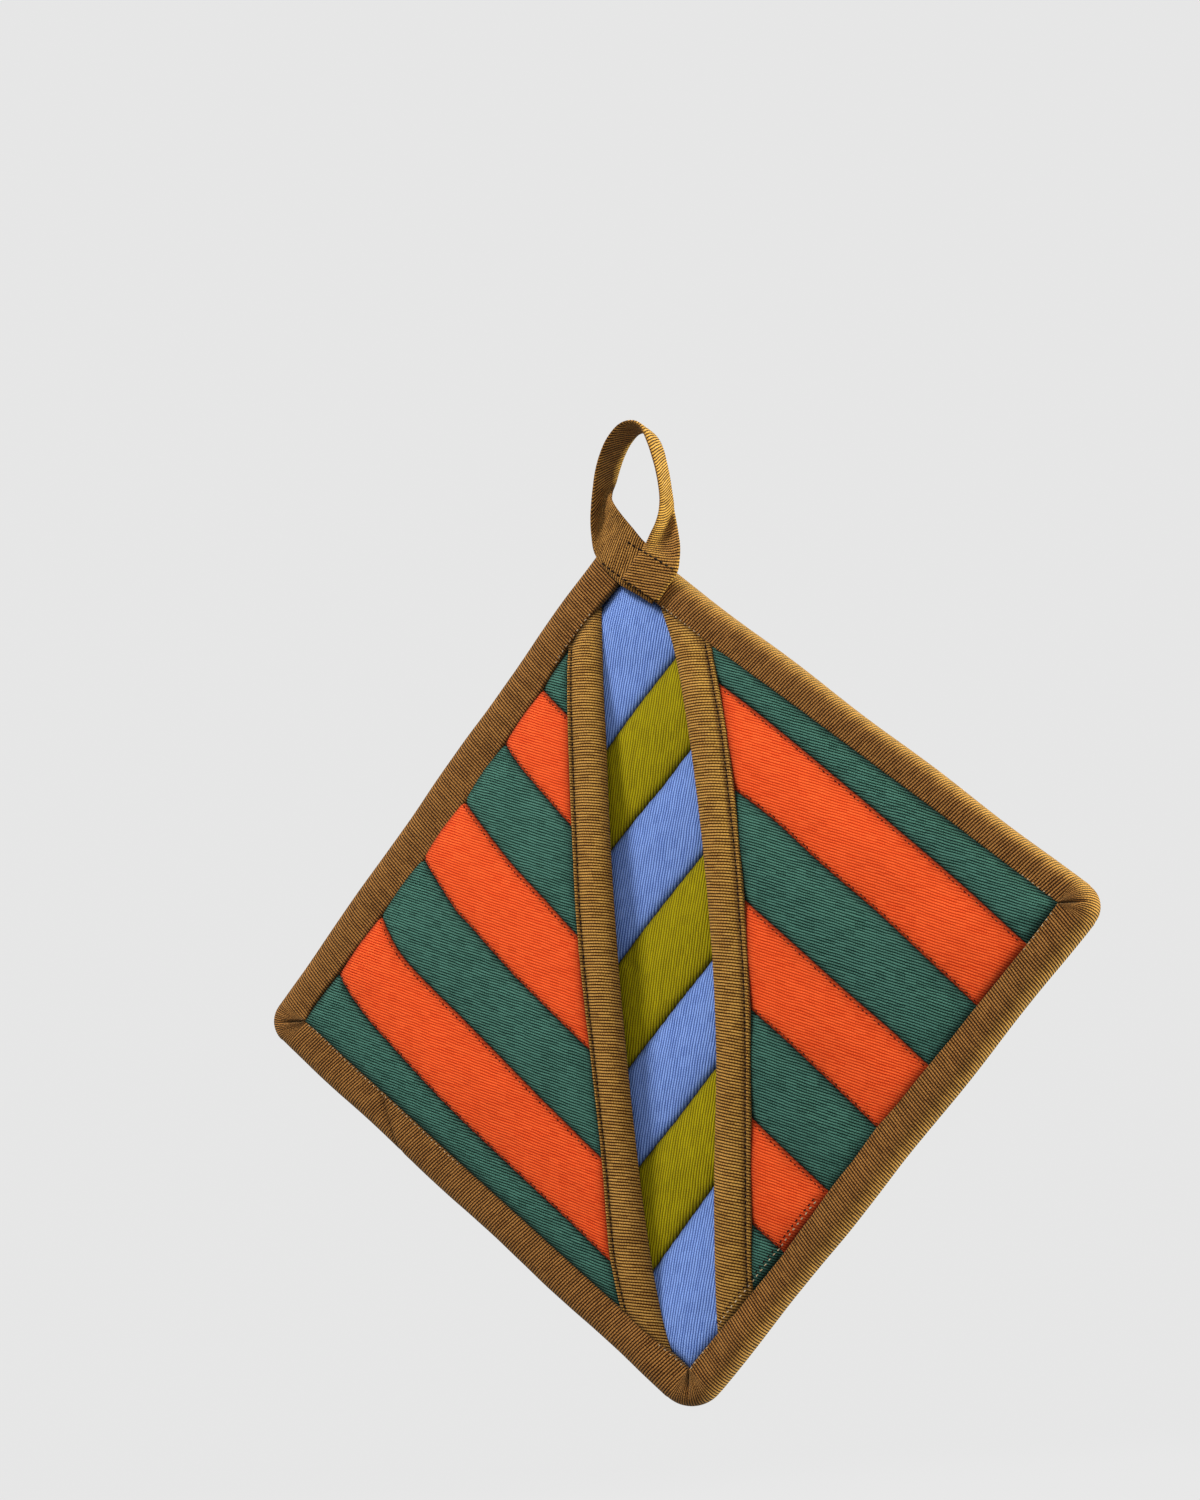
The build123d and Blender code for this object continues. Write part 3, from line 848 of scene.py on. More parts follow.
for side, pk in POCKETS.items():
    sg = pk["sign"]
    skin = lambda u, v, pk=pk, sd=(1 if sg < 0 else 2): pocket_skin(u, v, pk, sd)
    pk["skin"] = skin
    seams = []
    for p in pk["seams"]:
        # outer end under the edge binding, mouth end under the mouth binding
        seams.append(curve_of(p, skin, 48, before=4.0, after=7.0))
    up, lo = pk["sides"]
    corner = lift(np.array(IN_TL[-1] if sg < 0 else IN_TR[-1]), BIND_D)
    m_top = settle(np.array(pk["body"][0]), skin)
    m_bot = settle(np.array(pk["body"][-1]), skin)

    def outward(line, by):
        a, b = line
        d = (b - a) / np.linalg.norm(b - a)
        nrm = np.array([-d[1], d[0]])
        if nrm @ (np.zeros(2) - (a + b) / 2) > 0:
            nrm = -nrm
        return a + nrm * by, b + nrm * by

    # sewn edges, a little under the binding
    ua, ub = outward(LINE[up], 3.0)
    la, lb = outward(LINE[lo], 3.0)
    if sg < 0:      # left: the top edge runs TL, the bottom edge BL
        top_edge = lambda x: ua + (ub - ua) * ((x - ua[0]) / (ub[0] - ua[0]))
        low_edge = lambda x: la + (lb - la) * ((x - la[0]) / (lb[0] - la[0]))
    else:
        top_edge = lambda x: ua + (ub - ua) * ((x - ua[0]) / (ub[0] - ua[0]))
        low_edge = lambda x: la + (lb - la) * ((x - la[0]) / (lb[0] - la[0]))
    mouth_u_top = m_top[0] - sg * 5.0
    mouth_u_bot = m_bot[0] - sg * 5.0
    tip = corner + np.array([sg * 4.2, 0.0])
    fr = settle(np.array(pk["free"]), lambda u, v: Y_FRONT + 0.4 + bulge(u, v, pk) + pk["free_d"])
    m = 210
    F0 = smooth_curve(fr, m)
    G0 = smooth_curve(settle(np.array(pk["body"]), lambda u, v: skin(u, v) + 0.6), m)
    F0, G0 = resample(extend(F0, 5.0, 5.0), m), resample(extend(G0, 4.5, 4.5), m)
    pk["F0"], pk["G0"] = F0, G0
    pk["obs"] = []
    names = ("green", "orange", "green", "orange", "green", "orange", "green")
    if sg < 0:
        # strip 1 is the small corner between the top left edge and the mouth
        first_U = np.array([top_edge(seams[0][0][0] - 0.2), top_edge(mouth_u_top)])
        last_L = np.array([tip, low_edge(mouth_u_bot)])
        lines = [first_U] + seams + [last_L]
    else:
        first_U = np.array([tip, top_edge(mouth_u_top)])
        last_L = np.array([low_edge(seams[-1][0][0] + 0.2), low_edge(mouth_u_bot)])
        lines = [first_U] + seams + [last_L]
    pk["lines"] = lines
    for i, colour in enumerate(names):
        U, L = np.asarray(lines[i]), np.asarray(lines[i + 1])
        length = max(arc_len(U)[-1], arc_len(L)[-1])
        m = int(max(16, length / 1.0))
        ob = strip_mesh(
            f"{side}_pocket_strip_{i + 1}", U, L, m, 31, skin,
            lambda u, v, pk=pk: Y_FRONT + 1.3 + bulge(u, v, pk), COLOUR[colour],
            (i > 0, i < 6), 3 + i + (7 if sg > 0 else 0), pk["sides"], mouth=pk["G0"], sg=sg,
        )
        pk["obs"].append(ob)
        pocket_blend(ob, side, f"{side}_pocket_strip_{i + 1}_{colour}")

    # batting and lining, hidden but for the inside of the pocket
    m, n = 70, 61
    tt = np.linspace(0, 1, n)
    c2 = corner + np.array([sg * 2.0, 0.0])
    ua2, ub2 = outward(LINE[up], 1.5)
    la2, lb2 = outward(LINE[lo], 1.5)
    mt = ua2 + (ub2 - ua2) * ((m_top[0] - sg * 9.0 - ua2[0]) / (ub2[0] - ua2[0]))
    mb = la2 + (lb2 - la2) * ((m_bot[0] - sg * 9.0 - la2[0]) / (lb2[0] - la2[0]))
    A = resample(np.array([c2, mt]), m)
    B = resample(np.array([c2, mb]), m)
    P = A[:, None] * (1 - tt)[None, :, None] + B[:, None] * tt[None, :, None]
    # bow the mouth end out to the free edge of the mouth binding
    fe = smooth_curve(fr, 80)
    order = np.argsort(fe[:, 1])
    edge_u = np.interp(P[-1, :, 1], fe[order, 1], fe[order, 0]) + sg * 2.2
    shift = edge_u - P[-1, :, 0]
    P[..., 0] += shift[None, :] * (np.linspace(0, 1, m)[:, None] ** 3)
    u, v = P[..., 0], P[..., 1]
    lin_d = Y_FRONT + 0.35 + bulge(u, v, pk)
    face_d = Y_FRONT + 1.25 + bulge(u, v, pk)
    uvm = np.stack([u, v], -1)
    ob = shell(f"{side}_pocket_lining", np.stack([u, v, -(lin_d + 0.5)], -1), np.stack([u, v, -lin_d], -1), uvm, M_LINING)
    pocket_blend(ob, side, f"{side}_pocket_lining")
    # cut size from the CAD lining: its box, and its volume over its 0.6 mm
    cut, area = {"left": ((0.1142, 0.2278), 0.012813), "right": ((0.1144, 0.2250), 0.011229)}[side]
    hi = face_d
    ob = shell(f"{side}_pocket_batting", np.stack([u, v, -hi], -1), np.stack([u, v, -(lin_d + 0.55)], -1), uvm, M_BATTING)
    pocket_blend(ob, side, f"{side}_pocket_batting")

    # ---- mouth binding: a folded strip rolled over the free edge -----------
    m = 210
    prof = np.array([
        (1.0, 0.60), (0.998, 0.74), (0.988, 0.86), (0.968, 0.93), (0.942, 0.94), (0.915, 0.90), (0.893, 0.83),
        (0.875, 0.79), (0.857, 0.81), (0.83, 0.86), (0.79, 0.93), (0.72, 1.03), (0.62, 1.13), (0.52, 1.18),
        (0.42, 1.18), (0.33, 1.12), (0.25, 1.02), (0.18, 0.90), (0.12, 0.76), (0.07, 0.60), (0.035, 0.45),
        (0.010, 0.34), (0.0, 0.18), (0.008, 0.03), (0.035, -0.09), (0.08, -0.17), (0.15, -0.21), (0.25, -0.22),
        (0.37, -0.20), (0.50, -0.16), (0.63, -0.12), (0.75, -0.06), (0.86, 0.02), (0.94, 0.14), (0.98, 0.32),
    ])
    xs, hs = prof[:, 0], prof[:, 1]
    P = F0[:, None] * (1 - xs)[None, :, None] + G0[:, None] * xs[None, :, None]
    u, v = P[..., 0], P[..., 1]
    into = edge_dist(u, v, pk["sides"])
    tuck = 1 - np.exp(-np.clip(into + 1.0, 0, None) / 4.5)
    lin = Y_FRONT + 0.4 + bulge(u, v, pk)
    H = 2.55 + 2.05 * tuck
    slow = 0.10 * ripple(u, v, 14, 5) + 0.05 * ripple(u, v, 6, 2)
    puck = 0.07 * np.sin(2 * np.pi * arc_len(0.5 * (F0 + G0))[:, None] / 2.1) * np.exp(-(((xs - 0.875) / 0.06) ** 2))[None, :]
    d = lin + H * hs[None, :] + (slow + puck) * np.clip(hs, 0, 1)[None, :]
    rings = np.stack([u, v, -d], -1)
    along = arc_len(0.5 * (F0 + G0))
    per = arc_len(np.stack([xs * 13.0, hs * 4.4], 1))
    per = np.concatenate([per, [per[-1] + 0.8]])
    # the cloth keeps its ribs square to the strip, also where its ends are cut
    # on the slant of the edge binding
    cl = resample(0.5 * (F0 + G0), 40)[5:-5]
    along2 = project(u, v, cl)
    along2 = np.concatenate([along2, along2[:, :1]], 1)
    uvm = np.stack([along2, np.broadcast_to(per[None, :], (m, len(per)))], -1)
    # painted shade in the topstitch ditch and where the binding runs under the edge binding
    seam = np.minimum(np.abs(xs - 0.875) * 13.0, 9.0)[None, :] * np.ones((m, 1))
    seam = np.minimum(seam, np.clip(into, 0, None) * 0.9)
    ob = tube(f"{side}_mouth_binding", rings, uvm, M_MOUTH[side], seam=seam)
    pocket_blend(ob, side, f"{side}_mouth_binding")
    pk["bind_ob"] = ob

    # topstitching of the mouth binding
    G1 = G0 + (F0 - G0) * 0.125
    keep = edge_dist(G1[:, 0], G1[:, 1], pk["sides"]) > 0.3
    path = drop(G1[keep], tree_of(ob))
    ob = stitch_mesh(f"{side}_mouth_stitching", [(path, 2.05, 1.45, 0.10)], M_THREAD, radius=0.26)
    pocket_blend(ob, side, f"{side}_mouth_stitching")

    # stitching along the pocket seams, just on the orange side of each
    rows = []
    tree = tree_of(*pk["obs"])
    g = G0[np.argsort(G0[:, 1])]
    for k, sm in enumerate(seams):
        p = resample(sm, 90)
        d = np.gradient(p, axis=0)
        d /= np.linalg.norm(d, axis=1, keepdims=True)
        nrm = np.array([-d[:, 1], d[:, 0]]).T
        below = nrm[:, 1:] < 0
        nrm = np.where(below, nrm, -nrm)          # now pointing down the pad
        p = p + nrm * (0.95 if k % 2 == 0 else -0.95)
        ins = edge_dist(p[:, 0], p[:, 1], pk["sides"]) > 0.5
        beyond = (p[:, 0] - np.interp(p[:, 1], g[:, 1], g[:, 0])) * sg > 0.7
        p = p[ins & beyond]
        if len(p) < 4:
            continue
        rows.append((drop(p, tree), 1.6, 0.95, 0.0))
    ob = stitch_mesh(f"{side}_pocket_quilting", rows, M_THREAD, radius=0.185)
    pocket_blend(ob, side, f"{side}_pocket_quilting")

# ---------------------------------------------------------------------------
# base quilt
# ---------------------------------------------------------------------------


def base_skin(u, v):
    de = edge_dist(u, v, ("TL", "TR", "BL", "BR"))
    mid = np.exp(-((u - 2.0) / 20.0) ** 2)
    crease = -0.9 * np.exp(-((0.62 * (u + 10.5) + 0.78 * (v - 2.5)) / 1.1) ** 2) * np.exp(
        -((-0.78 * (u + 7.5) + 0.62 * (v - 0.5)) / 4.0) ** 2)
    return (Y_FRONT + 0.1 + 1.0 * mid * np.clip(de / 10, 0, 1)
            + (0.3 * ripple(u, v, 30, 4) + 0.14 * ripple(u, v, 13, 8) + crease) * mid * np.clip(de / 6, 0, 1))


base_lines = []
BIGL = 260.0
for p in BASE_SEAMS:
    q = settle(np.array(p), base_skin)
    a, b = straight(q)
    d = (b - a) / np.linalg.norm(b - a)
    base_lines.append((a, b, d))


def outset_square(by):
    """The inner square of the binding, set outwards, as four lines."""
    out = {}
    for k in ("TL", "TR", "BL", "BR"):
        a, b = LINE[k]
        d = (b - a) / np.linalg.norm(b - a)
        nrm = np.array([-d[1], d[0]])
        if nrm @ (np.zeros(2) - (a + b) / 2) > 0:
            nrm = -nrm
        out[k] = (a + nrm * by, d)
    return out


def cross(l1, l2):
    (p, d), (q, e) = l1, l2
    t = np.linalg.solve(np.array([d, -e]).T, q - p)
    return p + d * t[0]


SQ = outset_square(3.0)
c_top, c_right = cross(SQ["TL"], SQ["TR"]), cross(SQ["TR"], SQ["BR"])
c_bottom, c_left = cross(SQ["BR"], SQ["BL"]), cross(SQ["BL"], SQ["TL"])
ends = [(c_left, c_top)]
for a, b, d in base_lines:
    ends.append((cross(SQ["BL"], (a, d)), cross(SQ["TR"], (a, d))))
ends.append((c_bottom, c_right))
BASE_NAMES = ("blue", "olive", "blue", "olive", "blue", "olive", "blue")


def seam_curve(i, n=200):
    """Base seam with the small wander seen in the middle of the pad."""
    a, b = ends[i]
    p = a + (b - a) * np.linspace(0, 1, n)[:, None]
    if 0 < i < 7:
        q = settle(np.array(BASE_SEAMS[i - 1]), base_skin)
        d = (b - a) / np.linalg.norm(b - a)
        nrm = np.array([-d[1], d[0]])
        ta = (q - a) @ d
        off = (q - a) @ nrm
        t = (p - a) @ d
        o = np.interp(t, ta, off)
        fade = np.exp(-(np.clip(np.abs(t - ta.mean()) - 20, 0, None) / 25) ** 2)
        p = p + nrm * (o * fade)[:, None]
    return p


base_curves = [seam_curve(i) for i in range(8)]
base_obs = []
for i, colour in enumerate(BASE_NAMES):
    U, L = base_curves[i], base_curves[i + 1]
    ob = strip_mesh(f"base_strip_{i + 1}", U, L, 190, 27, base_skin, lambda u, v: np.full_like(u, 1.82), COLOUR[colour],
                    (i > 0, i < 6), 20 + i, ("TL", "TR", "BL", "BR"))
    base_obs.append(ob)
    fold_blend(ob, f"base_strip_{i + 1}_{colour}_left", f"base_strip_{i + 1}_{colour}_right")

# inner layers and the back panel, as one square grid
m = n = 101
SQ2 = outset_square(8.0)
k_top, k_right = cross(SQ2["TL"], SQ2["TR"]), cross(SQ2["TR"], SQ2["BR"])
k_bottom, k_left = cross(SQ2["BR"], SQ2["BL"]), cross(SQ2["BL"], SQ2["TL"])


def square_grid(m, n):
    a = np.linspace(0, 1, m)[:, None, None]
    b = np.linspace(0, 1, n)[None, :, None]
    shrink = 1 - 0.10 * (4 * np.abs(a - 0.5) * np.abs(b - 0.5)) ** 9
    return shrink * ((1 - a) * (1 - b) * k_left + a * (1 - b) * k_bottom + (1 - a) * b * k_top + a * b * k_right)


P = square_grid(m, n)
u, v = P[..., 0], P[..., 1]
uvm = np.stack([u, v], -1)
one = np.ones_like(u)
ob = shell("base_batting", np.stack([u, v, -1.75 * one], -1), np.stack([u, v, 0.75 * one], -1), uvm, M_BATTING)
fold_blend(ob, "base_batting_left", "base_batting_right")
ob = shell("heat_wadding", np.stack([u, v, 0.8 * one], -1), np.stack([u, v, 1.9 * one], -1), uvm, M_WADDING)
fold_blend(ob, "heat_wadding_left", "heat_wadding_right")


def back_y(u, v):
    """The back face: flat channels between the quilting rows."""
    d = np.full(np.shape(u), 99.0)
    for c in base_curves[1:-1]:
        a, b = c[0], c[-1]
        d = np.minimum(d, np.abs(line_side(u, v, a, b)))
    de = edge_dist(u, v, ("TL", "TR", "BL", "BR"))
    r = 0.9 * (1 - np.exp(-d / 1.6)) + 0.55 * (1 - np.exp(-d / 6.0))
    edge = 1 - np.exp(-np.clip(de + 0.5, 0, None) / 3.0)
    return 1.9 + (0.35 + r) * edge + 0.2 * ripple(u, v, 28, 9) * edge


P = square_grid(241, 241)
u, v = P[..., 0], P[..., 1]
uvm = np.stack([u, v], -1)
yb = back_y(u, v)
# painted shade along the quilting rows and the binding edge on the back
back_seam_shade = np.full_like(u, 9.0)
for c in base_curves[1:-1]:
    back_seam_shade = np.minimum(back_seam_shade, np.abs(line_side(u, v, c[0], c[-1])))
back_seam_shade = np.minimum(back_seam_shade, 0.8 * np.clip(edge_dist(u, v, ("TL", "TR", "BL", "BR")), 0, None))
ob = shell("back_panel", np.stack([u, v, yb - 0.5], -1), np.stack([u, v, yb], -1), uvm, M_BACK, seam=back_seam_shade)
fold_blend(ob, "back_panel_left", "back_panel_right")

rows = []
back_rows = []
base_tree, back_tree = tree_of(*base_obs), tree_of(ob)
for c in base_curves[1:-1]:
    p = resample(c, 200)
    ins = edge_dist(p[:, 0], p[:, 1], ("TL", "TR", "BL", "BR")) > 0.5
    p = p[ins]
    rows.append((drop(p, base_tree), 2.0, 1.3, -0.05))
    back_rows.append((drop(p, back_tree, front=False), 2.3, 1.6, 0.05))
ob = stitch_mesh("base_quilting", rows, M_THREAD, radius=0.17)
fold_blend(ob, "base_quilting_left", "base_quilting_right")
ob = stitch_mesh("base_quilting_back", back_rows, M_THREAD, radius=0.22, front=1)
fold_blend(ob)

# ---------------------------------------------------------------------------
# edge binding: one rolled strip round the whole square, mitred at the corners
# ---------------------------------------------------------------------------
corner_out = {"top": np.array(TOP), "right": np.array(RIGHT), "bottom": np.array(BOTTOM), "left": np.array(LEFT)}


def meet(p, q):
    (a, b), (c, d) = p, q
    return cross((a, (b - a)), (c, (d - c)))


corner_in = {
    "top": meet(LINE["TL"], LINE["TR"]), "right": meet(LINE["TR"], LINE["BR"]),
    "bottom": meet(LINE["BR"], LINE["BL"]), "left": meet(LINE["BL"], LINE["TL"]),
}
RING = ["top", "right", "bottom", "left"]
SIDE_OF = {("top", "right"): "TR", ("right", "bottom"): "BR", ("bottom", "left"): "BL", ("left", "top"): "TL"}


def half_arc(name, other, first):
    """Points of the outer outline from the middle of a rounded corner to the
    straight side towards the other corner."""
    c, o = corner_out[name], corner_out[other]
    i = RING.index(name)
    prev = corner_out[RING[i - 1]] if RING[(i + 1) % 4] == other else corner_out[RING[(i + 1) % 4]]
    d1 = (o - c) / np.linalg.norm(o - c)
    d0 = (prev - c) / np.linalg.norm(prev - c)
    r = ROUND[name]
    half = math.acos(float(np.clip(d1 @ d0, -1, 1))) / 2
    bis = (d1 + d0) / np.linalg.norm(d1 + d0)
    centre = c + bis * r / math.sin(half)
    start = -bis
    n1 = c + d1 * (r / math.tan(half)) - centre
    n1 /= np.linalg.norm(n1)
    ang = math.acos(float(np.clip(start @ n1, -1, 1)))
    out = []
    for t in np.linspace(0, 1, 21):
        a = t * ang
        w = (math.sin(ang - a) * start + math.sin(a) * n1) / math.sin(ang)
        out.append(centre + r * w)
    return np.array(out)


out_pts, in_pts, mitre, side_id = [], [], [], []
for k, name in enumerate(RING):
    nxt = RING[(k + 1) % 4]
    sd = SIDE_OF[(name, nxt)]
    a_arc = half_arc(name, nxt, True)
    b_arc = half_arc(nxt, name, False)[::-1]
    ln = np.linalg.norm(b_arc[0] - a_arc[-1])
    ns = int(ln / 0.5)
    mid = a_arc[-1] + (b_arc[0] - a_arc[-1]) * np.linspace(0, 1, ns)[1:-1, None]
    # the lower sides are very slightly bowed
    d = (b_arc[0] - a_arc[-1]) / ln
    nrm = np.array([-d[1], d[0]])
    bow = {"BL": 0.2, "BR": 0.1, "TL": 0.4, "TR": 0.0}[sd]
    tt = np.linspace(0, 1, ns)[1:-1]
    if nrm @ mid.mean(0) < 0:
        nrm = -nrm
    mid = mid + nrm * (bow * np.sin(np.pi * tt) + 0.22 * np.sin(tt * 2 * np.pi * 3.3 + k))[:, None]
    o = np.vstack([a_arc, mid, b_arc])
    # matching inner points: slide along the measured inner edge
    ci, cn = corner_in[name], corner_in[nxt]
    e = (cn - ci) / np.linalg.norm(cn - ci)
    total = np.linalg.norm(cn - ci)
    t = (o - ci) @ e
    t = np.clip(t, 0, total)
    meas = inner[sd]
    tm = (meas - ci) @ e
    nn = np.array([-e[1], e[0]])
    om = (meas - ci) @ nn
    srt = np.argsort(tm)
    off = np.interp(t, tm[srt], om[srt])
    off *= np.clip(np.minimum(t, total - t) / 6.0, 0, 1)
    i_ = ci + e * t[:, None] + nn * off[:, None]
    sl = slice(0, len(o) - 1)
    out_pts.append(o[sl])
    in_pts.append(i_[sl])
    # distance from the nearest mitre, along the strip
    s = arc_len(o)
    mitre.append(np.minimum(s, s[-1] - s)[sl])
    side_id += [sd] * (len(o) - 1)
OUT, INN, MIT = np.vstack(out_pts), np.vstack(in_pts), np.concatenate(mitre)
side_id = np.array(side_id)
m = len(OUT)

# profile: x from 0 at the outer edge to 1 at the inner edge, y the depth
front = [(1.0, 4.4), (1.0, 5.3), (0.992, 5.85), (0.965, 6.2), (0.92, 6.32), (0.86, 6.3), (0.78, 6.4), (0.67, 6.55),
         (0.56, 6.65), (0.45, 6.62), (0.34, 6.45), (0.25, 6.15), (0.17, 5.6), (0.11, 4.9), (0.065, 4.1),
         (0.032, 3.2), (0.012, 2.2), (0.002, 1.2), (0.0, 0.2), (0.004, -0.8), (0.018, -1.7), (0.042, -2.5),
         (0.08, -3.2), (0.13, -3.75), (0.20, -4.15), (0.30, -4.4), (0.42, -4.5), (0.56, -4.5), (0.70, -4.4),
         (0.82, -4.25), (0.90, -4.2), (0.95, -4.05), (0.985, -3.7), (1.0, -3.1)]
inside = [(0.93, -2.4), (0.85, -1.0), (0.82, 0.8), (0.85, 2.4), (0.93, 3.5)]
prof = np.array(front + inside)
x, dep = prof[:, 0], prof[:, 1]
WID = np.linalg.norm(OUT - INN, axis=1)
P = OUT[:, None] * (1 - x)[None, :, None] + INN[:, None] * x[None, :, None]
u, v = P[..., 0], P[..., 1]
dd = np.broadcast_to(dep[None, :], u.shape).copy()
is_front = (np.arange(len(prof)) < 14)[None, :] & np.ones_like(u, bool)
facew = np.clip(dep[None, :] / 4.0, 0, 1) * np.ones_like(u)
# creases of the mitres, each a short fold from the inner corner outwards
along_m = np.abs(MIT)[:, None] * (1 - 0.75 * x)[None, :]
fade = np.clip((x[None, :] - 0.18) / 0.4, 0, 1)
dd -= 0.95 * np.exp(-((along_m / 0.45) ** 2)) * fade * facew
dd += 0.30 * np.exp(-(((along_m - 1.6) / 1.1) ** 2)) * fade * facew
# where the ends of the mouth bindings pass under, the edge stands higher
for pk in POCKETS.values():
    for e in (0, -1):
        c = 0.5 * (pk["F0"][e] + pk["G0"][e])
        dist = np.hypot(u - c[0], v - c[1])
        dd += 0.85 * np.exp(-((dist / 9.0) ** 2)) * facew
# bias join on the lower left side
ja, jb = lift(np.array([(-99.5, -27.4), (-95.4, -45.4)]), 6.3)
sj = line_side(u, v, ja, jb)
near_join = np.hypot(u - (ja[0] + jb[0]) / 2, v - (ja[1] + jb[1]) / 2) < 16
dd -= np.where(near_join, 0.8 * np.exp(-((sj / 0.45) ** 2)) * facew, 0)
dd += np.where(near_join, 0.26 * np.exp(-(((sj - 1.2) / 1.3) ** 2)) * facew, 0)
# slow unevenness of a hand-fed binding
dd += 0.16 * ripple(u, v, 17, 6) * np.sign(dep)[None, :]
# stitched down along its inner edge
rings = np.stack([u, v, -dd], -1)
along = arc_len(np.vstack([OUT, OUT[:1]]))
per = arc_len(np.stack([x * 11.5, dep], 1))
per = np.concatenate([per, [per[-1] + 1.2]])
uvm = np.stack([np.broadcast_to(along[:, None], (m + 1, len(per))), np.broadcast_to(per[None, :], (m + 1, len(per)))], -1)
# painted shade along the mitre creases, the bias join and the ditch at the binding's inner edge
seam = np.where(facew > 0.3, along_m * 0.9 + (1 - fade) * 6, 9.0)
seam = np.minimum(seam, np.where(near_join & (facew > 0.3), np.abs(sj) * 0.8, 9.0))
seam = np.minimum(seam, (1 - x)[None, :] * 11.5 * 1.4 + 0.15)
ob = tube("edge_binding", rings, uvm, M_BIND, wrap=True, caps=False, seam=seam)
edge_ob = ob
fold_blend(ob, "edge_binding_left", "edge_binding_right")

# edge stitching: small stitches that show along the inner edge in places, and
# a full row on the back
tan_rows, dark_rows, back_rows2 = [], [], []
edge_tree = tree_of(edge_ob)
front_all = tree_of(edge_ob, *base_obs, *[o for pk in POCKETS.values() for o in pk["obs"] + [pk["bind_ob"]]])
SHOWN = {
    "TL": [(-24.0, -3.0)], "TR": [(8.0, 27.0), (118.0, 127.0)],
    "BR": [(116.0, 127.0), (-1.0, 8.0)], "BL": [(-121.0, -70.0), (-9.0, 1.0)],
}
for sd in ("TR", "BR", "BL", "TL"):
    idx = np.where(side_id == sd)[0]
    w = WID[idx][:, None]
    f = INN[idx] + (OUT[idx] - INN[idx]) * (0.5 / w)
    bk = INN[idx] + (OUT[idx] - INN[idx]) * (1.6 / w)
    keep = MIT[idx] > 9
    for a_, b_ in SHOWN[sd]:
        k = keep & (f[:, 0] > a_) & (f[:, 0] < b_) & ~((f[:, 0] > -9) & (f[:, 0] < 14) & (f[:, 1] > 112))
        if k.sum() > 12:
            tan_rows.append((drop(f[k], edge_tree), 1.9, 0.85, 0.04))
    back_rows2.append((drop(bk[keep], edge_tree, front=False), 2.3, 1.6, 0.08))
# a second, missed pass of the machine beside the lower right binding
for off_, rows_ in ((1.2, tan_rows), (2.05, dark_rows)):
    a_, b_ = LINE["BR"]
    d_ = (b_ - a_) / np.linalg.norm(b_ - a_)
    n_ = np.array([-d_[1], d_[0]])
    n_ = n_ if n_ @ (a_ + b_) < 0 else -n_
    t_ = np.linspace(0, 1, 400)[:, None]
    q_ = a_ + (b_ - a_) * t_ + n_ * off_
    q_ = q_[(q_[:, 0] > 10.0) & (q_[:, 0] < 46.0)]
    rows_.append((drop(q_, front_all), 2.0, 1.1, 0.08))
ob = stitch_mesh("edge_stitching", tan_rows, M_THREAD_TAN, radius=0.19)
fold_blend(ob, "edge_stitching_left", "edge_stitching_right")
ob = stitch_mesh("edge_stitching_second", dark_rows, M_THREAD, radius=0.22)
fold_blend(ob)
ob = stitch_mesh("edge_stitching_back", back_rows2, M_THREAD, radius=0.2, front=1)
fold_blend(ob)

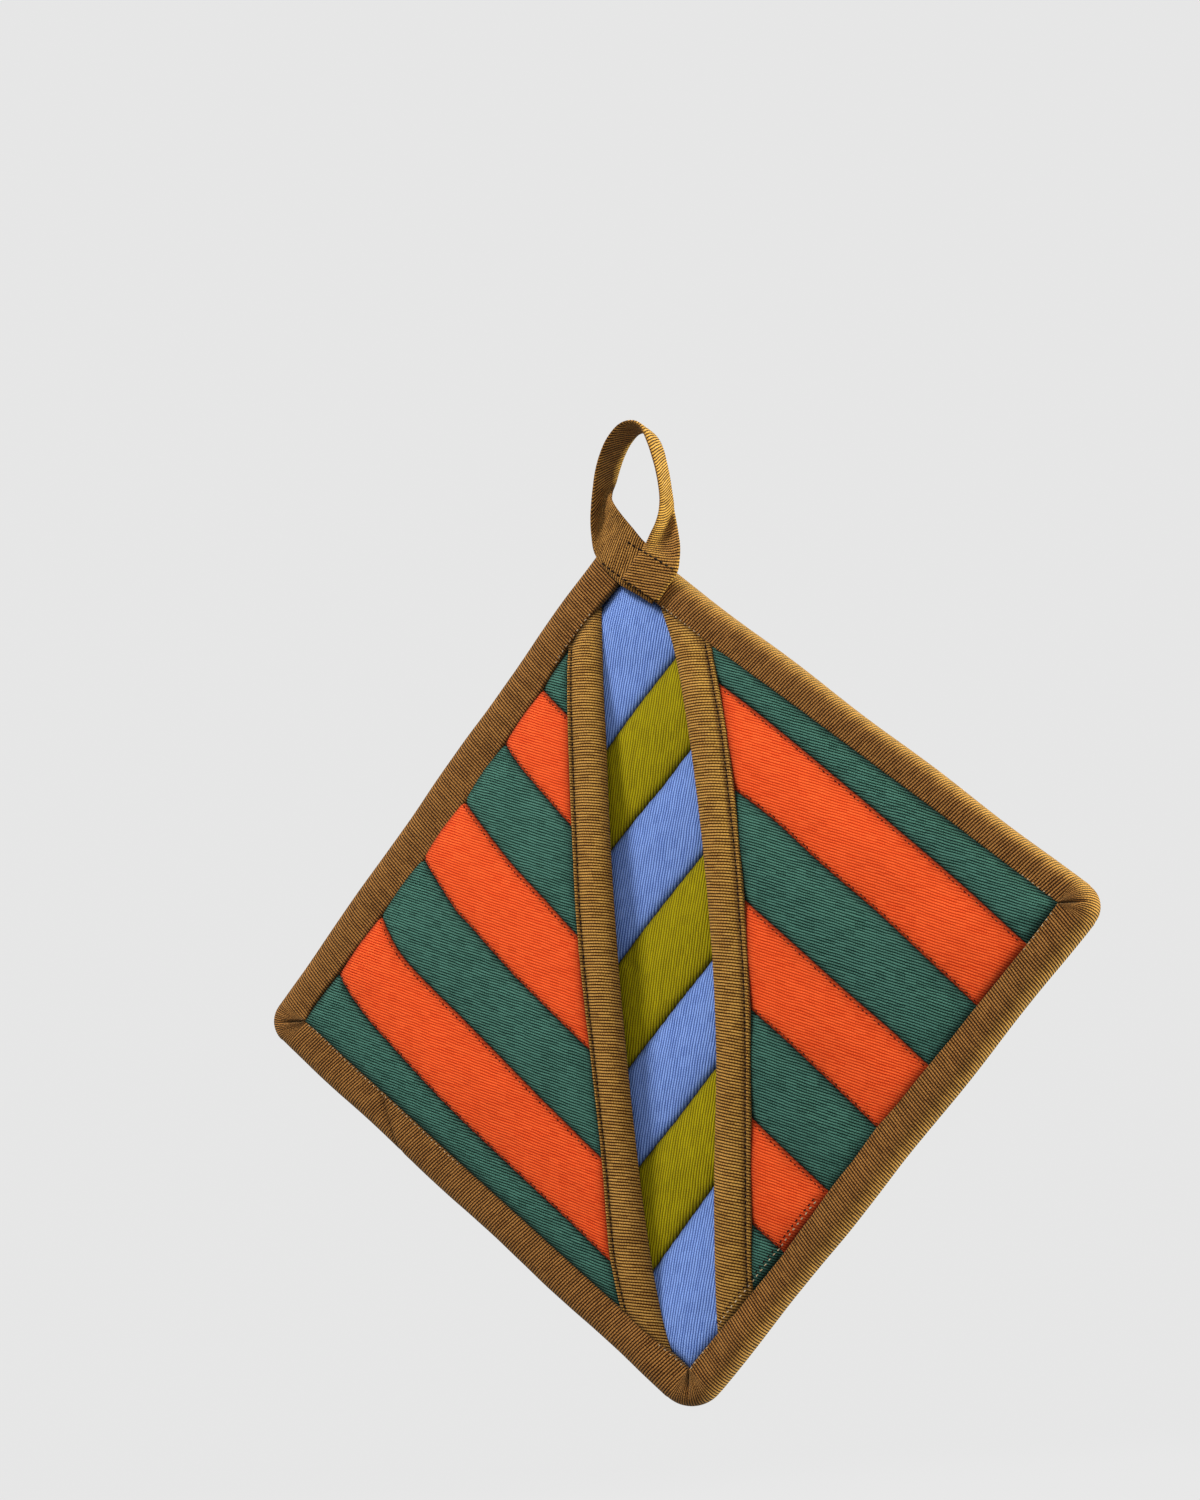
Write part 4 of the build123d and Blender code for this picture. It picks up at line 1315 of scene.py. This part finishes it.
# ---------------------------------------------------------------------------
# hanging loop: one strap, from under its own sewn end, up and over
# ---------------------------------------------------------------------------
STRAP = [
    ((11.48, 112.53, -6.90), (16.48, 118.50, -6.90), (21.48, 124.46, -6.90)),
    ((6.56, 116.64, -7.30), (11.75, 122.59, -7.30), (16.93, 128.53, -7.30)),
    ((1.23, 120.87, -7.60), (6.42, 126.67, -7.60), (11.61, 132.46, -7.60)),
    ((-3.26, 126.95, -7.90), (1.94, 133.05, -7.40), (7.64, 138.37, -8.30)),
    ((-6.09, 132.51, -7.80), (-1.91, 138.68, -5.20), (4.66, 143.06, -9.20)),
    ((-6.61, 138.28, -7.80), (-3.76, 143.85, -3.40), (2.58, 146.81, -9.20)),
    ((-6.28, 143.81, -8.20), (-4.01, 148.48, -2.60), (1.03, 150.09, -6.80)),
    ((-5.37, 148.89, -8.60), (-3.35, 151.96, -3.00), (-0.11, 153.59, -2.00)),
    ((-4.40, 153.74, -8.60), (-2.63, 155.74, -2.20), (-0.95, 157.59, 3.50)),
    ((-3.24, 158.94, -8.40), (-1.88, 160.43, -1.20), (-0.52, 161.92, 6.00)),
    ((-1.34, 164.40, -8.00), (0.08, 165.59, -0.75), (1.50, 166.78, 6.50)),
    ((1.60, 169.65, -7.60), (2.93, 170.37, -0.40), (4.25, 171.09, 6.80)),
    ((6.07, 173.50, -7.40), (6.84, 173.69, -0.20), (7.61, 173.88, 7.00)),
    ((10.59, 173.55, -7.40), (10.85, 173.52, -0.20), (11.10, 173.48, 7.00)),
    ((13.54, 170.84, -7.60), (13.62, 170.66, -0.40), (13.70, 170.48, 6.80)),
    ((15.45, 165.62, -8.00), (15.32, 166.14, -0.75), (15.20, 166.67, 6.50)),
    ((16.67, 160.33, -8.00), (16.30, 161.34, -0.90), (15.94, 162.35, 6.20)),
    ((17.61, 155.06, -8.20), (17.12, 156.37, -1.20), (16.62, 157.68, 5.80)),
    ((18.12, 149.57, -8.40), (17.74, 151.02, -1.90), (17.35, 152.48, 4.60)),
    ((18.10, 145.15, -8.80), (18.30, 145.94, -3.00), (18.68, 146.76, 1.80)),
    ((17.47, 141.14, -9.40), (17.99, 141.35, -2.90), (20.50, 140.65, -2.40)),
    ((15.97, 137.36, -9.80), (17.73, 136.57, -3.60), (22.14, 134.78, -6.00)),
    ((13.81, 134.17, -9.70), (17.57, 131.46, -5.60), (23.01, 129.19, -7.90)),
    ((11.93, 131.44, -9.50), (17.14, 127.76, -7.60), (22.72, 124.43, -8.80)),
    ((9.81, 129.40, -9.40), (15.68, 124.87, -9.20), (21.56, 120.34, -9.00)),
    ((6.15, 125.50, -9.30), (11.95, 120.82, -9.15), (17.76, 116.14, -9.00)),
    ((2.83, 121.69, -9.20), (8.56, 116.96, -9.05), (14.29, 112.23, -8.90)),
]
S = np.array(STRAP)                      # (stations, F/M/K, 3)
NS = 190
param = np.linspace(0, len(S) - 1, NS)


def spline_sample(p, t):
    """Catmull-Rom at fractional stations."""
    q = np.vstack([2 * p[0] - p[1], p, 2 * p[-1] - p[-2]])
    i = np.clip(t.astype(int), 0, len(p) - 2)
    f = (t - i)[:, None]
    a, b, c, d = q[i], q[i + 1], q[i + 2], q[i + 3]
    return 0.5 * (2 * b + (c - a) * f + (2 * a - 5 * b + 4 * c - d) * f**2 + (3 * b - a - 3 * c + d) * f**3)


Fr, Mr, Kr = (spline_sample(S[:, k], param) for k in range(3))
NA = 15
w = np.linspace(0, 1, NA)
ctrl = 2 * Mr - 0.5 * (Fr + Kr)          # quadratic through the middle point
surf = (
    Fr[:, None] * ((1 - w) ** 2)[None, :, None]
    + ctrl[:, None] * (2 * w * (1 - w))[None, :, None]
    + Kr[:, None] * (w**2)[None, :, None]
)
# surface normals by differences
ds = np.gradient(surf, axis=0)
dw = np.gradient(surf, axis=1)
nrm = np.cross(ds, dw)
nrm /= np.maximum(np.linalg.norm(nrm, axis=2, keepdims=True), 1e-9)
TH = 1.35
half_t = 0.5 * TH * np.ones(NA)
edge_round = np.sqrt(np.clip(1 - (np.abs(2 * w - 1)) ** 10, 0.02, 1))
half_t = half_t * edge_round
topstrip = surf + nrm * half_t[None, :, None]
botstrip = surf - nrm * half_t[None, :, None]
rings = np.concatenate([topstrip, botstrip[:, ::-1]], axis=1)
lenm = arc_len(surf[:, NA // 2])
per = np.concatenate([w * 15.0, 15.0 + w * 15.0 + 1.0, [32.0]])
uvm = np.stack([np.broadcast_to(lenm[:, None], (NS, len(per))), np.broadcast_to(per[None, :], (NS, len(per)))], -1)
ob = tube("hanging_loop_strap", rings, uvm, M_STRAP)
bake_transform(ob)
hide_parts("hanging_loop", "loop_sewn_end")

strap_tree = tree_of(ob)
ra = sight_drop(smooth_curve(np.array([(-7.0, 131.3), (-1.0, 125.4), (9.6, 115.6)]), 60), strap_tree)
rb = sight_drop(resample(np.array([(2.2, 136.6), (17.4, 124.3)]), 60), strap_tree)
ob = stitch_mesh("loop_stitching", [(ra, 2.05, 1.5, 0.20), (rb, 2.05, 1.5, 0.20)], M_THREAD, radius=0.30)
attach(ob, "right_half")
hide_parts("loop_stitching")

# ---------------------------------------------------------------------------
# stage, light and camera
# ---------------------------------------------------------------------------


def stage_material(name, colour, glow):
    """Matt paper, evenly bright."""
    mat = bpy.data.materials.new(name)
    mat.use_nodes = True
    b = mat.node_tree.nodes["Principled BSDF"]
    b.inputs["Base Color"].default_value = colour
    b.inputs["Roughness"].default_value = 0.95
    b.inputs["Specular IOR Level"].default_value = 0.0
    b.inputs["Emission Color"].default_value = (1, 1, 1, 1)
    b.inputs["Emission Strength"].default_value = glow
    return mat


FLOOR_Z = cad_lo.z - 0.16


def cyclorama():
    """A round floor that sweeps up into a wall all the way round."""
    flat, R, top = 2.6, 2.0, 6.0
    pts = [(r, 0.0) for r in np.linspace(0.02, flat, 8)]
    for a in np.linspace(0, math.pi / 2, 28)[1:]:
        pts.append((flat + R * math.sin(a), R - R * math.cos(a)))
    pts.append((flat + R, top))
    k = 96
    V = [(r * math.cos(t), r * math.sin(t), FLOOR_Z + z) for (r, z) in pts
         for t in np.linspace(0, 2 * math.pi, k, endpoint=False)]
    F = [tuple(range(k))]
    for i in range(len(pts) - 1):
        for j in range(k):
            n = (j + 1) % k
            F.append((i * k + j, (i + 1) * k + j, (i + 1) * k + n, i * k + n))
    me = bpy.data.meshes.new("backdrop")
    me.from_pydata(V, [], F)
    me.polygons.foreach_set("use_smooth", [True] * len(me.polygons))
    ob = bpy.data.objects.new("backdrop", me)
    bpy.context.scene.collection.objects.link(ob)
    me.materials.append(stage_material("backdrop_paper", (0.015, 0.015, 0.015, 1), 0.785))
    ob.visible_diffuse = False
    ob.visible_glossy = False
    ob.visible_shadow = False


cyclorama()

world = bpy.data.worlds.new("studio")
bpy.context.scene.world = world
world.use_nodes = True
world.node_tree.nodes["Background"].inputs[0].default_value = (0.95, 0.97, 1.0, 1)
world.node_tree.nodes["Background"].inputs[1].default_value = 0.38


def area(name, loc, target, size, power, colour=(1, 1, 1), size_y=None):
    li = bpy.data.lights.new(name, "AREA")
    li.energy = power
    li.color = colour
    li.shape = "RECTANGLE"
    li.size = size
    li.size_y = size_y or size
    ob = bpy.data.objects.new(name, li)
    bpy.context.scene.collection.objects.link(ob)
    ob.location = loc
    d = Vector(target) - Vector(loc)
    ob.rotation_euler = d.to_track_quat("-Z", "Y").to_euler()
    ob.visible_camera = False
    return ob


mid = Vector(row_v(0, 0, -5))
# broad key from the upper left, and a low light from the right that catches
# the right-hand edges
area("key", (-0.9, -1.4, 1.6), mid, 0.6, 54, (1.0, 0.985, 0.96), 0.6)
area("edge_light", (1.60, 0.26, 0.28), mid, 0.5, 84, (0.88, 1.0, 0.66), 0.9)
area("fill", (0.9, -2.1, 0.3), mid, 1.4, 12, (0.98, 0.98, 1.0))
area("back_fill", (-0.6, 2.2, 0.8), mid, 1.6, 24, (1, 1, 1))

cam = bpy.data.cameras.new("camera")
cam.lens = 64.8
cam.sensor_width = 36.0
cam_ob = bpy.data.objects.new("camera", cam)
bpy.context.scene.collection.objects.link(cam_ob)
right = Vector((0.91903061, 0.38501147, -0.08455114))
upv = Vector((0.15787348, -0.16296823, 0.97391854))
fwd = Vector((-0.36119066, 0.90840934, 0.21055589))
rot = Matrix((right, upv, -fwd)).transposed()
cam_ob.matrix_world = Matrix.Translation(Vector(row_v(297.232, -110.63, -780.671))) @ rot.to_4x4()
cam.clip_end = 50
bpy.context.scene.camera = cam_ob
bpy.context.scene.view_settings.view_transform = "Standard"
